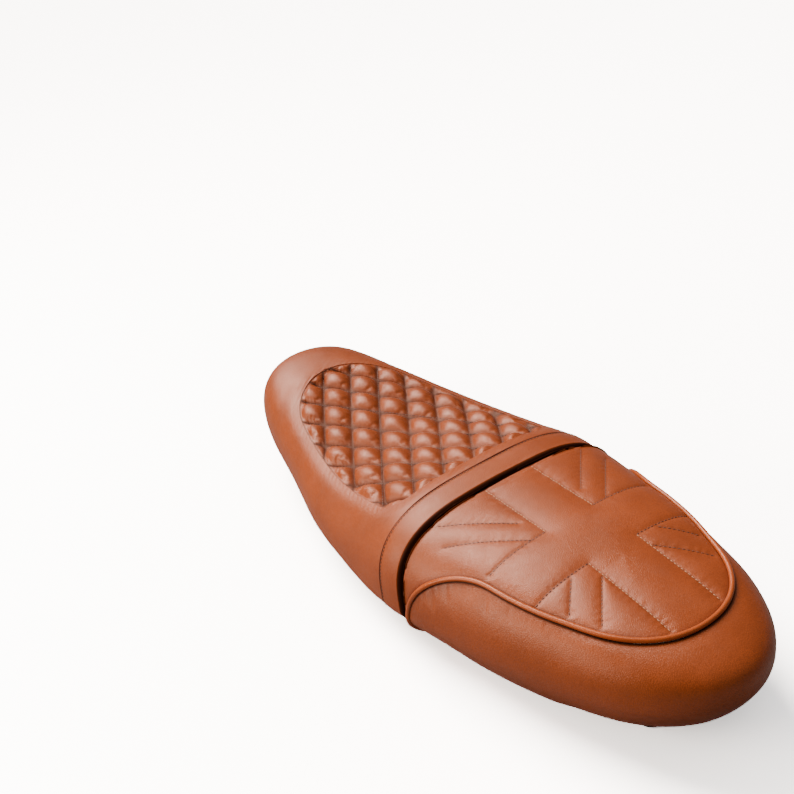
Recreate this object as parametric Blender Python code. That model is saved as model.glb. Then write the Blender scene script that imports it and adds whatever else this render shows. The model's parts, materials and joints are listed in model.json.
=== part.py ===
"""Motorcycle dual seat: a lift-up rider seat and a bolted pillion pad.

Metres, +X towards the nose, +Y to the left, +Z up. The origin is under the middle of the seat's
box, on the plane that the rubber buffers stand on.
"""
import math

import bmesh
import bpy
from mathutils import Vector

# ---------------------------------------------------------------- driving dimensions
TAIL_X = -0.330
NOSE_X = 0.330
# Half-width of the cover along the seat, before the tail and the nose round off.
HALF_WIDTH = ((-0.22, 0.0960), (-0.12, 0.1115), (-0.02, 0.1235), (0.08, 0.1175), (0.18, 0.0945),
              (0.27, 0.0720))
# Height of the crown line, of the shoulder where the top becomes the side, and of the hem.
CROWN_Z = ((-0.33, 0.1050), (-0.24, 0.1170), (-0.14, 0.1245), (-0.03, 0.1245), (0.02, 0.1160),
           (0.12, 0.1025), (0.22, 0.1075), (0.33, 0.1180))
SHOULDER_Z = ((-0.33, 0.0825), (0.00, 0.0335), (0.33, 0.0655))
HEM_Z = ((-0.33, 0.0370), (-0.12, 0.0090), (0.10, 0.0345), (0.33, 0.0140))
TAIL_ROUND_X = -0.149        # the plan starts to round off here, towards the tail
NOSE_ROUND_X = 0.236         # and here, towards the nose
TAIL_POWER = 2.3
NOSE_POWER = 2.6
FAN_TAIL_X = -0.200          # cross sections fan out round this point of the crown line
FAN_NOSE_X = 0.260
PILLION_POWER = 3.23         # superellipse power of the cross section
RIDER_POWER = 2.76
POWER_BLEND = 0.02           # length over which one power turns into the other, at x = 0
HEM_TUCK = 0.0188            # how far the cover pulls in below the shoulder

GAP_X = -0.053               # middle of the gap between the two modules
HALF_GAP = 0.0018
BAND_FRONT_X = -0.022
QUILT_REAR_X = -0.008
QUILT_FRONT_X = 0.250
QUILT_HALF_WIDTH = 0.0905
QUILT_CORNER = 0.022
QUILT_TAPER_X = (0.050, 0.155)     # the quilt narrows from here, over this length
QUILT_TAPER = 0.0285
QUILT_TAPER_POWER = 1.6
QUILT_ROUND_X = 0.190        # and rounds off from here to its front
QUILT_ROUND_POWER = 2.6
PIPING_Z = 0.1085            # height of the piping round the pillion's top
PIPING_RISE_X = -0.150       # the piping leaves that height here and dives to the hem
PIPING_FOOT_X = -0.0584      # it meets the hem here
PIPING_STEEP_X = -0.140      # forward of this the top panel wraps down the sides
PIPING_BEND = 3.0
PIPING_DROP = 0.7
PIPING_RADIUS = 0.0022
PIPING_LIFT = 0.0010

LEATHER = 0.0020
CLEARANCE = 0.0006           # between the leather and what it covers
PAN_CLEARANCE = 0.0012
BACKING = 0.0055             # the foam sewn under the quilted panel
BACKING_INSET = 0.0015
SEAM_GAP = 0.0002            # each panel stops this short of its seams
FIT_GAP = 0.0003             # between pieces that rest on each other
WALL_STEP = 0.001            # the wall's hem stands this much inside the cover's
WALL_ZONE = 0.0055           # covers this near the gap keep their edges in its plane
LIP_WIDTH = 0.015            # the hem's turned-in lip
SIDE_ROWS = 6                # rows of faces between a panel seam and the foam's lower edge
LEAST_DROP = 0.08            # seams nearer than this (in v) to the foam's edge take no rows
FRONT_LIP_START = 0.018      # the pillion's side lip starts this far behind the gap
PAN_EDGE_INSET = 0.0026      # pan section: (inset from the hem, height above it)
FLANGE_LOW = 0.003
FLANGE_HIGH = 0.006
FLANGE_WIDTH = 0.020
WALL_RUN = 0.005
FLOOR_LOW = 0.022
FLOOR_HIGH = 0.025
RIB_DEPTH = 0.008
CROSS_RIB_DEPTH = 0.007
FLOOR_INSET = FLANGE_WIDTH + WALL_RUN + FLANGE_HIGH - FLANGE_LOW
ROOT = 0.0015                # how far ribs and bosses run into the floor that they join
RIB_THICK = 0.0025

BUFFER_RADIUS = 0.012
BUFFER_TOP = 0.0157
BUFFER_CHAMFER = 0.0015
BOSS_RADIUS = 0.013
BOSS_LOW = 0.0160
STEM_RADIUS = 0.0050
BORE_RADIUS = 0.0053
STEM_TOP = 0.0232
BORE_TOP = 0.0240
RIDER_RIBS = {"along": (-0.022, 0.175), "y": 0.0440, "across": (-0.005, 0.110, 0.150)}
PILLION_RIBS = {"along": (-0.272, -0.084), "y": 0.0105, "across": (-0.145, -0.180)}
RIDER_BUFFERS = ((0.030, 0.060), (0.185, 0.030))
PILLION_BUFFERS = ((-0.125, 0.050), (-0.250, 0.024))

# Steel fittings. A joggled strip runs flat from back to bend and from foot to tip.
SHEET_STEEL = 0.003
TONGUE = {"back": 0.196, "bend": 0.252, "foot": 0.264, "tip": 0.300, "high": 0.0405,
          "low": 0.0050}
TONGUE_WIDTH = 0.046
TONGUE_BOLT = (0.208, 0.013)
TANG = {"back": -0.112, "bend": -0.090, "foot": -0.083, "tip": -0.062, "high": 0.0225,
        "low": 0.0040}
TANG_WIDTH = 0.022
TANG_Y = 0.034
TANG_BOLT = (-0.103, TANG_Y)
STRIKER_X = 0.075
STRIKER_PLATE_Z = 0.0440
STRIKER_PLATE_X = 0.013
STRIKER_PLATE_Y = 0.032
STRIKER_LEG_Y = 0.0135
STRIKER_ROD = 0.0030
STRIKER_BAR_Z = 0.0150
STRIKER_BEND = 0.006
STRIKER_BOLT = (STRIKER_X, 0.0245)
BRACKET_X = -0.205
BRACKET_HALF_LONG = 0.012
BRACKET_HALF_WIDE = 0.050
BRACKET_LOW = 0.0170         # the bracket's two feet
BRACKET_HIGH = 0.0213        # its raised middle, which clears the bolt heads
BRACKET_MIDDLE = 0.027       # half-width of that middle, and of the feet's inner edge
BRACKET_FOOT = 0.0300
BRACKET_LEAN = 0.03          # how far the step's upper corners stand outside its lower ones
BRACKET_BOLT = (BRACKET_X, 0.020)
WELD_NUT = (BRACKET_X, 0.0405)
NUT_RADIUS = 0.0075
NUT_HIGH = 0.0068
FRAME_BOLT_RADIUS = 0.0040
FRAME_BOLT_HOLE = 0.0045
BOLT_SHANK = 0.0028
BOLT_HOLE = 0.0031
BOLT_HEAD = 0.0052
BOLT_HEAD_HIGH = 0.0035
BOLT_BITE = 0.0045           # how far a shank reaches into its boss
BOLT_CHAMFER = 0.0005
BOLT_BOSS_RADIUS = 0.007
BORE_SPARE = 0.0008          # a bore is this much deeper than its shank
CUTTER_SPARE = 0.002         # cutters run this far past the faces they cut

TILT_AXIS = (0.285, 0.0, 0.0115)   # the rider seat rocks about this point of its tongue
SIDES = (1, -1)

COLOURS = {
    "leather": ((0.42, 0.14, 0.045), 0.45, 0.0),
    "piping": ((0.50, 0.18, 0.06), 0.40, 0.0),
    "foam": ((0.75, 0.72, 0.60), 0.9, 0.0),
    "plastic": ((0.02, 0.02, 0.022), 0.55, 0.0),
    "rubber": ((0.03, 0.03, 0.03), 0.8, 0.0),
    "steel": ((0.10, 0.10, 0.11), 0.4, 0.8),
    "zinc": ((0.62, 0.62, 0.60), 0.35, 1.0),
}


# ---------------------------------------------------------------- scene helpers
def clear_scene():
    for item in list(bpy.data.objects):
        bpy.data.objects.remove(item, do_unlink=True)


def make_material(kind, name):
    colour, roughness, metallic = COLOURS[kind]
    material = bpy.data.materials.new(name)
    material.use_nodes = True
    shader = material.node_tree.nodes["Principled BSDF"]
    shader.inputs["Base Color"].default_value = (*colour, 1.0)
    shader.inputs["Roughness"].default_value = roughness
    shader.inputs["Metallic"].default_value = metallic
    return material


def finish_object(name, kind, mesh, smooth_angle=35.0):
    """Give the mesh outward faces, shading and a material, and link it as an object."""
    work = bmesh.new()
    work.from_mesh(mesh)
    bmesh.ops.recalc_face_normals(work, faces=work.faces)
    if work.calc_volume(signed=True) < 0:
        bmesh.ops.reverse_faces(work, faces=work.faces)
    work.to_mesh(mesh)
    work.free()
    mesh.shade_smooth()
    mesh.set_sharp_from_angle(angle=math.radians(smooth_angle))
    mesh.materials.append(make_material(kind, name))
    item = bpy.data.objects.new(name, mesh)
    bpy.context.collection.objects.link(item)
    return item


def mesh_from(name, points, faces):
    mesh = bpy.data.meshes.new(name)
    mesh.from_pydata([tuple(p) for p in points], [], faces)
    return mesh


def bake_boolean(target, cutter, operation):
    """Join or cut target with cutter, keep the result as its mesh, and drop the cutter."""
    modifier = target.modifiers.new(operation.lower(), "BOOLEAN")
    modifier.operation = operation
    modifier.solver = "EXACT"
    modifier.object = cutter
    bpy.context.view_layer.update()
    graph = bpy.context.evaluated_depsgraph_get()
    result = bpy.data.meshes.new_from_object(target.evaluated_get(graph))
    target.modifiers.clear()
    target.data = result
    bpy.data.objects.remove(cutter, do_unlink=True)
    return target


# ---------------------------------------------------------------- solid helpers
class Solid:
    """Points and faces of one or more closed bodies that become one mesh."""

    def __init__(self):
        self.points = []
        self.faces = []

    def add(self, points, faces):
        start = len(self.points)
        self.points.extend(Vector(p) for p in points)
        self.faces.extend([start + i for i in face] for face in faces)

    def box(self, low, high):
        corners = [(x, y, z) for z in (low[2], high[2]) for y in (low[1], high[1])
                   for x in (low[0], high[0])]
        self.add(corners, [(0, 2, 3, 1), (4, 5, 7, 6), (0, 1, 5, 4), (2, 6, 7, 3), (0, 4, 6, 2),
                           (1, 3, 7, 5)])

    def turned(self, centre, profile, sides=24):
        """A solid of revolution round Z; profile is (radius, z) from bottom to top."""
        points = []
        for radius, z in profile:
            for k in range(sides):
                turn = 2 * math.pi * k / sides
                points.append((centre[0] + radius * math.cos(turn),
                               centre[1] + radius * math.sin(turn), z))
        faces = [list(range(sides - 1, -1, -1))]
        for ring in range(len(profile) - 1):
            for k in range(sides):
                a = ring * sides + k
                b = ring * sides + (k + 1) % sides
                faces.append((a, b, b + sides, a + sides))
        top = (len(profile) - 1) * sides
        faces.append(list(range(top, top + sides)))
        self.add(points, faces)

    def post(self, centre, radius, low, top_at, sides=24):
        """A round post whose top follows the height top_at(x)."""
        start = len(self.points)
        self.turned(centre, ((radius, low), (radius, low)), sides)
        for point in self.points[start + sides:]:
            point.z = top_at(point.x)

    def plate(self, outline, y_low, y_high):
        """A closed X-Z outline, given anticlockwise as seen from -Y, extruded along Y."""
        count = len(outline)
        points = [(x, y_low, z) for x, z in outline] + [(x, y_high, z) for x, z in outline]
        faces = [list(range(count)), list(range(2 * count - 1, count - 1, -1))]
        for k in range(count):
            n = (k + 1) % count
            faces.append((n, k, k + count, n + count))
        self.add(points, faces)

    def tube(self, path, radius, sides=10):
        """A round rod along a list of points, with flat ends."""
        points = []
        last = len(path) - 1
        side = None
        for k, here in enumerate(path):
            along = (path[min(k + 1, last)] - path[max(k - 1, 0)]).normalized()
            if side is None:
                side = along.orthogonal().normalized()
            side = (side - along * side.dot(along)).normalized()
            other = along.cross(side)
            for n in range(sides):
                turn = 2 * math.pi * n / sides
                points.append(here + radius * (math.cos(turn) * side + math.sin(turn) * other))
        faces = [list(range(sides - 1, -1, -1))]
        for k in range(last):
            for n in range(sides):
                a = k * sides + n
                b = k * sides + (n + 1) % sides
                faces.append((a, b, b + sides, a + sides))
        faces.append(list(range(last * sides, (last + 1) * sides)))
        self.add(points, faces)

    def object(self, name, kind, smooth_angle=35.0):
        return finish_object(name, kind, mesh_from(name, self.points, self.faces), smooth_angle)


# ---------------------------------------------------------------- the seat's outer shape
def smooth_value(knots, x):
    """Cubic curve through the knots, level where they turn, held beyond the first and last."""
    if x <= knots[0][0]:
        return knots[0][1]
    if x >= knots[-1][0]:
        return knots[-1][1]
    slopes = [(b[1] - a[1]) / (b[0] - a[0]) for a, b in zip(knots, knots[1:])]
    tangents = [slopes[0]]
    for before, after in zip(slopes, slopes[1:]):
        tangents.append(2 * before * after / (before + after) if before * after > 0 else 0.0)
    tangents.append(slopes[-1])
    k = max(i for i in range(len(knots) - 1) if knots[i][0] <= x)
    step = knots[k + 1][0] - knots[k][0]
    t = (x - knots[k][0]) / step
    return ((2 * t**3 - 3 * t**2 + 1) * knots[k][1] + (t**3 - 2 * t**2 + t) * step * tangents[k]
            + (3 * t**2 - 2 * t**3) * knots[k + 1][1] + (t**3 - t**2) * step * tangents[k + 1])


def straight_value(knots, x):
    """Straight lines through the knots, held beyond the first and last."""
    for (x0, y0), (x1, y1) in zip(knots, knots[1:]):
        if x <= x1:
            return y0 + (y1 - y0) * max(0.0, x - x0) / (x1 - x0)
    return knots[-1][1]


def half_width(x):
    tail = min(1.0, max(0.0, (TAIL_ROUND_X - x) / (TAIL_ROUND_X - TAIL_X)))
    nose = min(1.0, max(0.0, (x - NOSE_ROUND_X) / (NOSE_X - NOSE_ROUND_X)))
    rounding = math.sqrt(1 - tail**TAIL_POWER) * math.sqrt(1 - nose**NOSE_POWER)
    return smooth_value(HALF_WIDTH, x) * rounding


def section_power(x):
    blend = 1 / (1 + math.exp(-x / POWER_BLEND))
    return PILLION_POWER * (1 - blend) + RIDER_POWER * blend


def hem_z(x):
    return smooth_value(HEM_Z, x)


def spine_x(station):
    return min(FAN_NOSE_X, max(FAN_TAIL_X, station))


def surface(station, side, v):
    """A point of the cover: v is 0 on the crown line, 1 at the shoulder and 2 at the hem."""
    centre = spine_x(station)
    width = half_width(station)
    turn = min(v, 1.0) * math.pi / 2
    power = 2 / section_power(station)
    out = math.sin(turn)**power
    up = max(0.0, math.cos(turn))**power
    x = centre + (station - centre) * out
    y = width * out
    shoulder = straight_value(SHOULDER_Z, station)
    z = shoulder + (smooth_value(CROWN_Z, x) - shoulder) * up
    down = max(0.0, v - 1.0)
    reach = math.hypot(station - centre, width) + 1e-9
    tuck = HEM_TUCK * down**2 / reach
    x -= (station - centre) * tuck
    y -= width * tuck
    z -= (shoulder - hem_z(station)) * down
    return Vector((x, side * y, z))


def cover_normal(station, side, v):
    """The cover's outward direction. It stays in the plane of the gap and of the far ends."""
    step = 0.0005
    if v < 0.02:
        x = spine_x(station)
        rise = smooth_value(CROWN_Z, x + step) - smooth_value(CROWN_Z, x - step)
        normal = Vector((-rise / (2 * step), 0, 1))
    elif station in (TAIL_X, NOSE_X):
        across = surface(station, side, min(2.0, v + 0.01)) - surface(station, side, v - 0.01)
        normal = Vector((-across.z, 0, across.x)) * math.copysign(1, station)
    else:
        across = surface(station, side, min(2.0, v + 0.01)) - surface(station, side, v - 0.01)
        reach = min(step, (NOSE_X - station) / 2, (station - TAIL_X) / 2)
        along = surface(station + reach, side, v) - surface(station - reach, side, v)
        normal = along.cross(across) * side
    if abs(station - GAP_X) < WALL_ZONE:
        normal.x = 0
    return normal.normalized()


def v_at_height(station, z):
    """The v at which the cover passes height z."""
    low, high = 0.0, 2.0
    for _ in range(40):
        middle = (low + high) / 2
        if surface(station, 1, middle).z > z:
            low = middle
        else:
            high = middle
    return (low + high) / 2


def quilt_half_width(x):
    """Half-width of the shield-shaped quilted panel."""
    start, length = QUILT_TAPER_X
    width = QUILT_HALF_WIDTH - QUILT_TAPER * max(0.0, (x - start) / length)**QUILT_TAPER_POWER
    front = min(1.0, max(0.0, (x - QUILT_ROUND_X) / (QUILT_FRONT_X - QUILT_ROUND_X)))
    width *= math.sqrt(1 - front**QUILT_ROUND_POWER)
    back = max(0.0, QUILT_REAR_X + QUILT_CORNER - x)
    return width - QUILT_CORNER + math.sqrt(max(0.0, QUILT_CORNER**2 - back**2))


def quilt_v(station):
    """The v of the quilted panel's edge; it runs on straight behind the panel."""
    x = max(station, QUILT_REAR_X)
    if x >= QUILT_FRONT_X:
        return 0.0
    share = min(1.0, quilt_half_width(x) / half_width(x))
    return math.asin(share**(section_power(x) / 2)) * 2 / math.pi


def piping_v(station):
    """The v of the pillion's piping: level round the top, diving to the hem near the gap."""
    share = (station - PIPING_RISE_X) / (PIPING_FOOT_X - PIPING_RISE_X)
    share = min(1.0, max(0.0, share))
    low = hem_z(station)
    z = low + (PIPING_Z - low) * (1 - share**PIPING_BEND)**PIPING_DROP
    return v_at_height(station, z)


def piping_stations(levels):
    """Stations where the piping has climbed these shares of its height."""
    run = PIPING_FOOT_X - PIPING_RISE_X
    return [PIPING_RISE_X + run * (1 - level**(1 / PIPING_DROP))**(1 / PIPING_BEND)
            for level in levels]


class Module:
    """One of the two cushions: its stations run from the gap to its far end."""

    def __init__(self, stations, split_v, top_rows):
        self.stations = stations
        self.split_v = split_v
        self.top_rows = top_rows
        self.length = abs(stations[-1] - stations[0])
        self.forward = 1 if stations[-1] > stations[0] else -1

    def foam_v(self, station):
        return v_at_height(station, hem_z(station) + FLANGE_HIGH + PAN_CLEARANCE)

    def rows(self, station):
        """v values: crown line, split line, shoulder, foam edge, hem."""
        split = self.split_v(station)
        foam_edge = self.foam_v(station)
        values = [split * k / self.top_rows for k in range(self.top_rows + 1)]
        drop = foam_edge - split if foam_edge - split > LEAST_DROP else 0.0
        values += [split + drop * k / SIDE_ROWS for k in range(1, SIDE_ROWS + 1)]
        values.append(2.0)
        return values

    def ring_point(self, station, side, inset, lift):
        """A point inside the hem outline by inset, and above the hem by lift."""
        start = self.stations[0]
        along = start + self.forward * inset + (station - start) * (1 - inset / self.length)
        point = surface(along, side, 2.0)
        inward = Vector((spine_x(along) - point.x, -point.y, 0.0))
        if inward.length > 1e-9:
            point += inward.normalized() * inset
        point.z = hem_z(along) + lift
        return point

    def floor_z(self, x):
        """Height of the pan floor's underside."""
        edge = [self.ring_point(s, 1, FLOOR_INSET, FLOOR_LOW) for s in self.stations]
        knots = sorted((point.x, point.z) for point in edge)
        return straight_value(knots, x)

    def floor_half_width(self, x):
        edge = [self.ring_point(s, 1, FLOOR_INSET, FLOOR_LOW) for s in self.stations]
        knots = sorted((point.x, point.y) for point in edge)
        return straight_value(knots, x)


def quilt_stations():
    return [QUILT_REAR_X + QUILT_CORNER * (1 - math.cos(math.radians(a))) for a in (0, 50, 90)]


RIDER_STATIONS = [GAP_X + HALF_GAP, BAND_FRONT_X, *quilt_stations(), 0.050, 0.090, 0.130, 0.165,
                  0.195, 0.220, 0.236, 0.246, QUILT_FRONT_X, 0.264, 0.284, 0.303, 0.317, 0.326,
                  NOSE_X]
PIPING_LEVELS = (0.0, 0.08, 0.16, 0.25, 0.36, 0.50, 0.65, 0.80, 0.92, 1.0)
PILLION_STATIONS = [GAP_X - HALF_GAP, *piping_stations(PIPING_LEVELS), -0.1850, -0.2150, -0.2450,
                    -0.2700, -0.2920, -0.3080, -0.3190, -0.3265, TAIL_X]
RIDER = Module(RIDER_STATIONS, quilt_v, 4)
PILLION = Module(PILLION_STATIONS, piping_v, 8)


# ---------------------------------------------------------------- leather panels
class Sheet:
    """The cover of one module as one surface, whose faces are shared out between panels."""

    def __init__(self, module, panel_of, lip_from):
        self.points = []
        self.normals = []
        self.index = {}
        self.faces = []
        rows = {s: module.rows(s) for s in module.stations}
        for a, b in zip(module.stations, module.stations[1:]):
            for side in SIDES:
                for k in range(len(rows[a]) - 1):
                    spots = ((a, rows[a][k]), (b, rows[b][k]), (b, rows[b][k + 1]),
                             (a, rows[a][k + 1]))
                    corners = [self.cover_vertex(station, side, v) for station, v in spots]
                    self.face(panel_of(a, b, k), corners, side * module.forward)
                if module.forward * (a - lip_from) >= 0:
                    corners = [self.cover_vertex(a, side, 2.0), self.cover_vertex(b, side, 2.0),
                               self.lip_vertex(module, b, side), self.lip_vertex(module, a, side)]
                    self.face(panel_of(a, b, len(rows[a])), corners, side * module.forward)

    def cover_vertex(self, station, side, v):
        normal = cover_normal(station, side, v)
        if v == 2.0:
            normal = (normal + Vector((0, 0, -1))).normalized()
        return self.vertex(surface(station, side, v), normal)

    def lip_vertex(self, module, station, side):
        return self.vertex(module.ring_point(station, side, LIP_WIDTH, 0.0), Vector((0, 0, -1)))

    def vertex(self, point, normal):
        key = tuple(round(c, 5) for c in point)
        if key not in self.index:
            self.index[key] = len(self.points)
            self.points.append(point)
            self.normals.append(normal)
        return self.index[key]

    def face(self, panel, corners, turn):
        for split in (corners[:3], [corners[0], *corners[2:]]):
            ids = list(dict.fromkeys(split))
            if len(ids) == 3:
                self.faces.append((panel, ids if turn > 0 else ids[::-1]))

    def panel_faces(self, panels):
        return [ids for panel, ids in self.faces if panel in panels]

    def thick_panel(self, panels, outer, inner, pull=SEAM_GAP):
        """A closed sheet of leather or foam between two depths below the cover's surface."""
        faces = self.panel_faces(panels)
        order = {}
        for ids in faces:
            for number in ids:
                order.setdefault(number, len(order))
        border = set()
        for ids in faces:
            for k, number in enumerate(ids):
                edge = (number, ids[(k + 1) % len(ids)])
                border.symmetric_difference_update({(min(edge), max(edge))})
        shift = {number: Vector((0, 0, 0)) for edge in border for number in edge}
        for ids in faces:
            middle = sum((self.points[n] for n in ids), Vector((0, 0, 0))) / len(ids)
            for number in ids:
                if number in shift:
                    shift[number] += middle - self.points[number]
        count = len(order)
        points = [None] * (2 * count)
        for number, place in order.items():
            normal = self.normals[number]
            base = self.points[number].copy()
            if number in shift:
                inward = shift[number] - normal * shift[number].dot(normal)
                base += inward.normalized() * pull
            points[place] = base - normal * outer
            points[place + count] = base - normal * inner
        solid_faces = [[order[n] for n in ids] for ids in faces]
        solid_faces += [[order[n] + count for n in reversed(ids)] for ids in faces]
        for ids in faces:
            for k, number in enumerate(ids):
                after = ids[(k + 1) % len(ids)]
                if (min(number, after), max(number, after)) in border:
                    a, b = order[number], order[after]
                    solid_faces.append((b, a, a + count, b + count))
        solid = Solid()
        solid.add(points, solid_faces)
        return solid


def rider_panel(a, b, row):
    if b <= BAND_FRONT_X:
        return "band"
    if a >= QUILT_REAR_X and b <= QUILT_FRONT_X and row < RIDER.top_rows:
        return "quilt"
    return "side"


def pillion_panel(a, b, row):
    return "top" if row < PILLION.top_rows else "side"


def make_rider_covers():
    rider = Sheet(RIDER, rider_panel, BAND_FRONT_X)
    rider.thick_panel({"band"}, 0.0, LEATHER).object("rider_rear_band", "leather")
    rider.thick_panel({"side"}, 0.0, LEATHER).object("rider_side_cover", "leather")
    rider.thick_panel({"quilt"}, 0.0, LEATHER).object("rider_quilt_panel", "leather")
    start = LEATHER + 2 * CLEARANCE
    backing = rider.thick_panel({"quilt"}, start, start + BACKING, pull=BACKING_INSET)
    backing.object("rider_quilt_backing", "foam")


def make_pillion_covers():
    pillion = Sheet(PILLION, pillion_panel, GAP_X - HALF_GAP - FRONT_LIP_START)
    pillion.thick_panel({"top"}, 0.0, LEATHER).object("pillion_top_panel", "leather")
    pillion.thick_panel({"side"}, 0.0, LEATHER).object("pillion_side_panel", "leather")
    make_piping()


def make_piping():
    """A round cord that lies on the seam, from the hem round the tail and back to the hem."""
    rim = [(s, side) for side, order in ((1, 1), (-1, -1)) for s in PILLION_STATIONS[1:][::order]]
    path = []
    for station, side in rim:
        v = piping_v(station)
        spot = surface(station, side, v)
        spot += cover_normal(station, side, v) * (PIPING_RADIUS + PIPING_LIFT)
        if not path or (spot - path[-1]).length > 0.001:
            path.append(spot)
    cord = Solid()
    cord.tube(path, PIPING_RADIUS, sides=8)
    cord.object("pillion_piping", "piping", 60.0)


def wall_levels(module):
    """Half-widths and heights of the wall's outline, from its top down to the hem."""
    station = module.stations[0]
    depth = LEATHER + CLEARANCE
    low = hem_z(station)
    levels = []
    for v in module.rows(station)[1:-1]:
        point = surface(station, 1, v)
        ahead = surface(station, 1, v + 0.01)
        run = Vector((ahead.y - point.y, ahead.z - point.z)).normalized()
        spot = (point.y + run.y * depth, point.z - run.x * depth)
        if spot[1] > low + LEATHER + WALL_STEP:
            levels.append(spot)
    bottom = surface(station, 1, 2.0).y - depth - WALL_STEP
    return [*levels, (bottom, low + LEATHER), (bottom, low)]


def make_wall(name, module):
    """The flat leather wall at a module's gap end, with its hem turned under the pan."""
    station = module.stations[0]
    levels = wall_levels(module)
    points = []
    for x in (station, station + module.forward * LEATHER):
        for y, z in levels:
            points += [(x, y, z), (x, -y, z)]
    count = 2 * len(levels)
    faces = [(0, 1, count + 1, count), (count - 2, count - 1, 2 * count - 1, 2 * count - 2)]
    for a in range(0, count - 2, 2):
        faces.append((a, a + 1, a + 3, a + 2))
        if a < count - 4:
            faces.append((count + a, count + a + 1, count + a + 3, count + a + 2))
        for edge in (a, a + 1):
            faces.append((edge, edge + 2, edge + 2 + count, edge + count))
    # The turned-in lip leaves the wall's inner face between its two lowest levels.
    end = station + module.forward * LIP_WIDTH
    base = len(points)
    bottom = levels[-1][0]
    for z in (hem_z(end) + LEATHER, hem_z(end)):
        points += [(end, bottom, z), (end, -bottom, z)]
    root = 2 * count - 4
    faces += [(root, root + 1, base + 1, base), (root + 2, root + 3, base + 3, base + 2),
              (base, base + 1, base + 3, base + 2)]
    for k in (0, 1):
        faces.append((root + k, root + 2 + k, base + 2 + k, base + k))
    solid = Solid()
    solid.add(points, faces)
    return solid.object(name, "leather")


# ---------------------------------------------------------------- foam and pans
def closed_rings(rings, floor_first, floor_last):
    """A body from loops of (left, right) point pairs: bands between loops, floors at both ends.

    Each ring is a list of (left, right) pairs from the gap to the far end, where both meet.
    """
    points = []
    index = {}
    faces = []

    def number(point):
        key = tuple(round(c, 6) for c in point)
        if key not in index:
            index[key] = len(points)
            points.append(point)
        return index[key]

    def face(*corners):
        ids = []
        for corner in corners:
            n = number(corner)
            if n not in ids:
                ids.append(n)
        if len(ids) >= 3:
            faces.append(ids)

    for ring, after in zip(rings, rings[1:]):
        for k in range(len(ring) - 1):
            for side in (0, 1):
                face(ring[k][side], ring[k + 1][side], after[k][side])
                face(ring[k + 1][side], after[k + 1][side], after[k][side])
        face(ring[0][1], ring[0][0], after[0][0], after[0][1])
    for ring, wanted in ((rings[0], floor_first), (rings[-1], floor_last)):
        if wanted:
            for k in range(len(ring) - 1):
                face(ring[k][0], ring[k + 1][0], ring[k + 1][1], ring[k][1])
    return points, faces


def ring_pairs(module, inset, lift):
    return [(module.ring_point(s, 1, inset, lift), module.ring_point(s, -1, inset, lift))
            for s in module.stations]


def pan_profile(raise_by=0.0):
    """(inset, height over the hem) along the pan's upper side, from its edge to its floor."""
    return ((PAN_EDGE_INSET, FLANGE_HIGH + raise_by), (FLANGE_WIDTH, FLANGE_HIGH + raise_by),
            (FLANGE_WIDTH + WALL_RUN, FLOOR_HIGH + raise_by))


def make_pan(name, module):
    thick = FLANGE_HIGH - FLANGE_LOW
    below = ((FLANGE_WIDTH + WALL_RUN + thick, FLOOR_LOW), (FLANGE_WIDTH + thick, FLANGE_LOW),
             (PAN_EDGE_INSET, FLANGE_LOW))
    above = pan_profile()
    rings = [ring_pairs(module, inset, lift) for inset, lift in (*below, *above)]
    points, faces = closed_rings(rings, True, True)
    solid = Solid()
    solid.add(points, faces)
    return solid.object(name, "plastic")


def make_foam(name, sheet_depth, module):
    """The moulded foam: the cover's inner side above, the pan's upper side below."""
    inset_x = module.stations[0] + module.forward * (LEATHER + CLEARANCE)
    stations = [inset_x, *module.stations[1:]]
    rows = {s: [min(v, module.foam_v(s)) for v in module.rows(s)[:-1]] for s in stations}
    rings = []
    for k in range(len(rows[inset_x]) - 1, -1, -1):
        ring = []
        for station in stations:
            v = rows[station][k]
            depth = sheet_depth(station, k)
            ring.append(tuple(surface(station, side, v) - cover_normal(station, side, v) * depth
                              for side in SIDES))
        rings.append(ring)
    under = []
    for inset, lift in reversed(pan_profile(PAN_CLEARANCE)[1:]):
        under.append(ring_pairs(module, inset, lift))
    points, faces = closed_rings([*under, *rings], True, False)
    solid = Solid()
    solid.add(points, faces)
    return solid.object(name, "foam")


def rider_foam_depth(station, row):
    inside = QUILT_REAR_X - 0.001 <= station <= QUILT_FRONT_X + 0.001
    if inside and row <= RIDER.top_rows:
        return LEATHER + 3 * CLEARANCE + BACKING
    return LEATHER + CLEARANCE


def pillion_foam_depth(station, row):
    steep = station > PIPING_STEEP_X
    return LEATHER + (3 if steep else 1) * CLEARANCE


def add_ribs(pan, module, ribs):
    """Stiffening ribs under the floor, joined to it."""
    low_x, high_x = ribs["along"]
    steps = 8
    long_ribs = Solid()
    for y in (ribs["y"], -ribs["y"]):
        xs = [low_x + (high_x - low_x) * k / steps for k in range(steps + 1)]
        under = [(x, module.floor_z(x) - RIB_DEPTH) for x in xs]
        over = [(x, module.floor_z(x) + ROOT) for x in reversed(xs)]
        long_ribs.plate([*under, *over], y - RIB_THICK / 2, y + RIB_THICK / 2)
    bake_boolean(pan, long_ribs.object("long_ribs", "plastic"), "UNION")
    cross_ribs = Solid()
    for x in ribs["across"]:
        reach = module.floor_half_width(x) + RIB_THICK
        floor = module.floor_z(x)
        cross_ribs.box((x - RIB_THICK / 2, -reach, floor - CROSS_RIB_DEPTH),
                       (x + RIB_THICK / 2, reach, floor + ROOT))
    bake_boolean(pan, cross_ribs.object("cross_ribs", "plastic"), "UNION")


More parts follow.
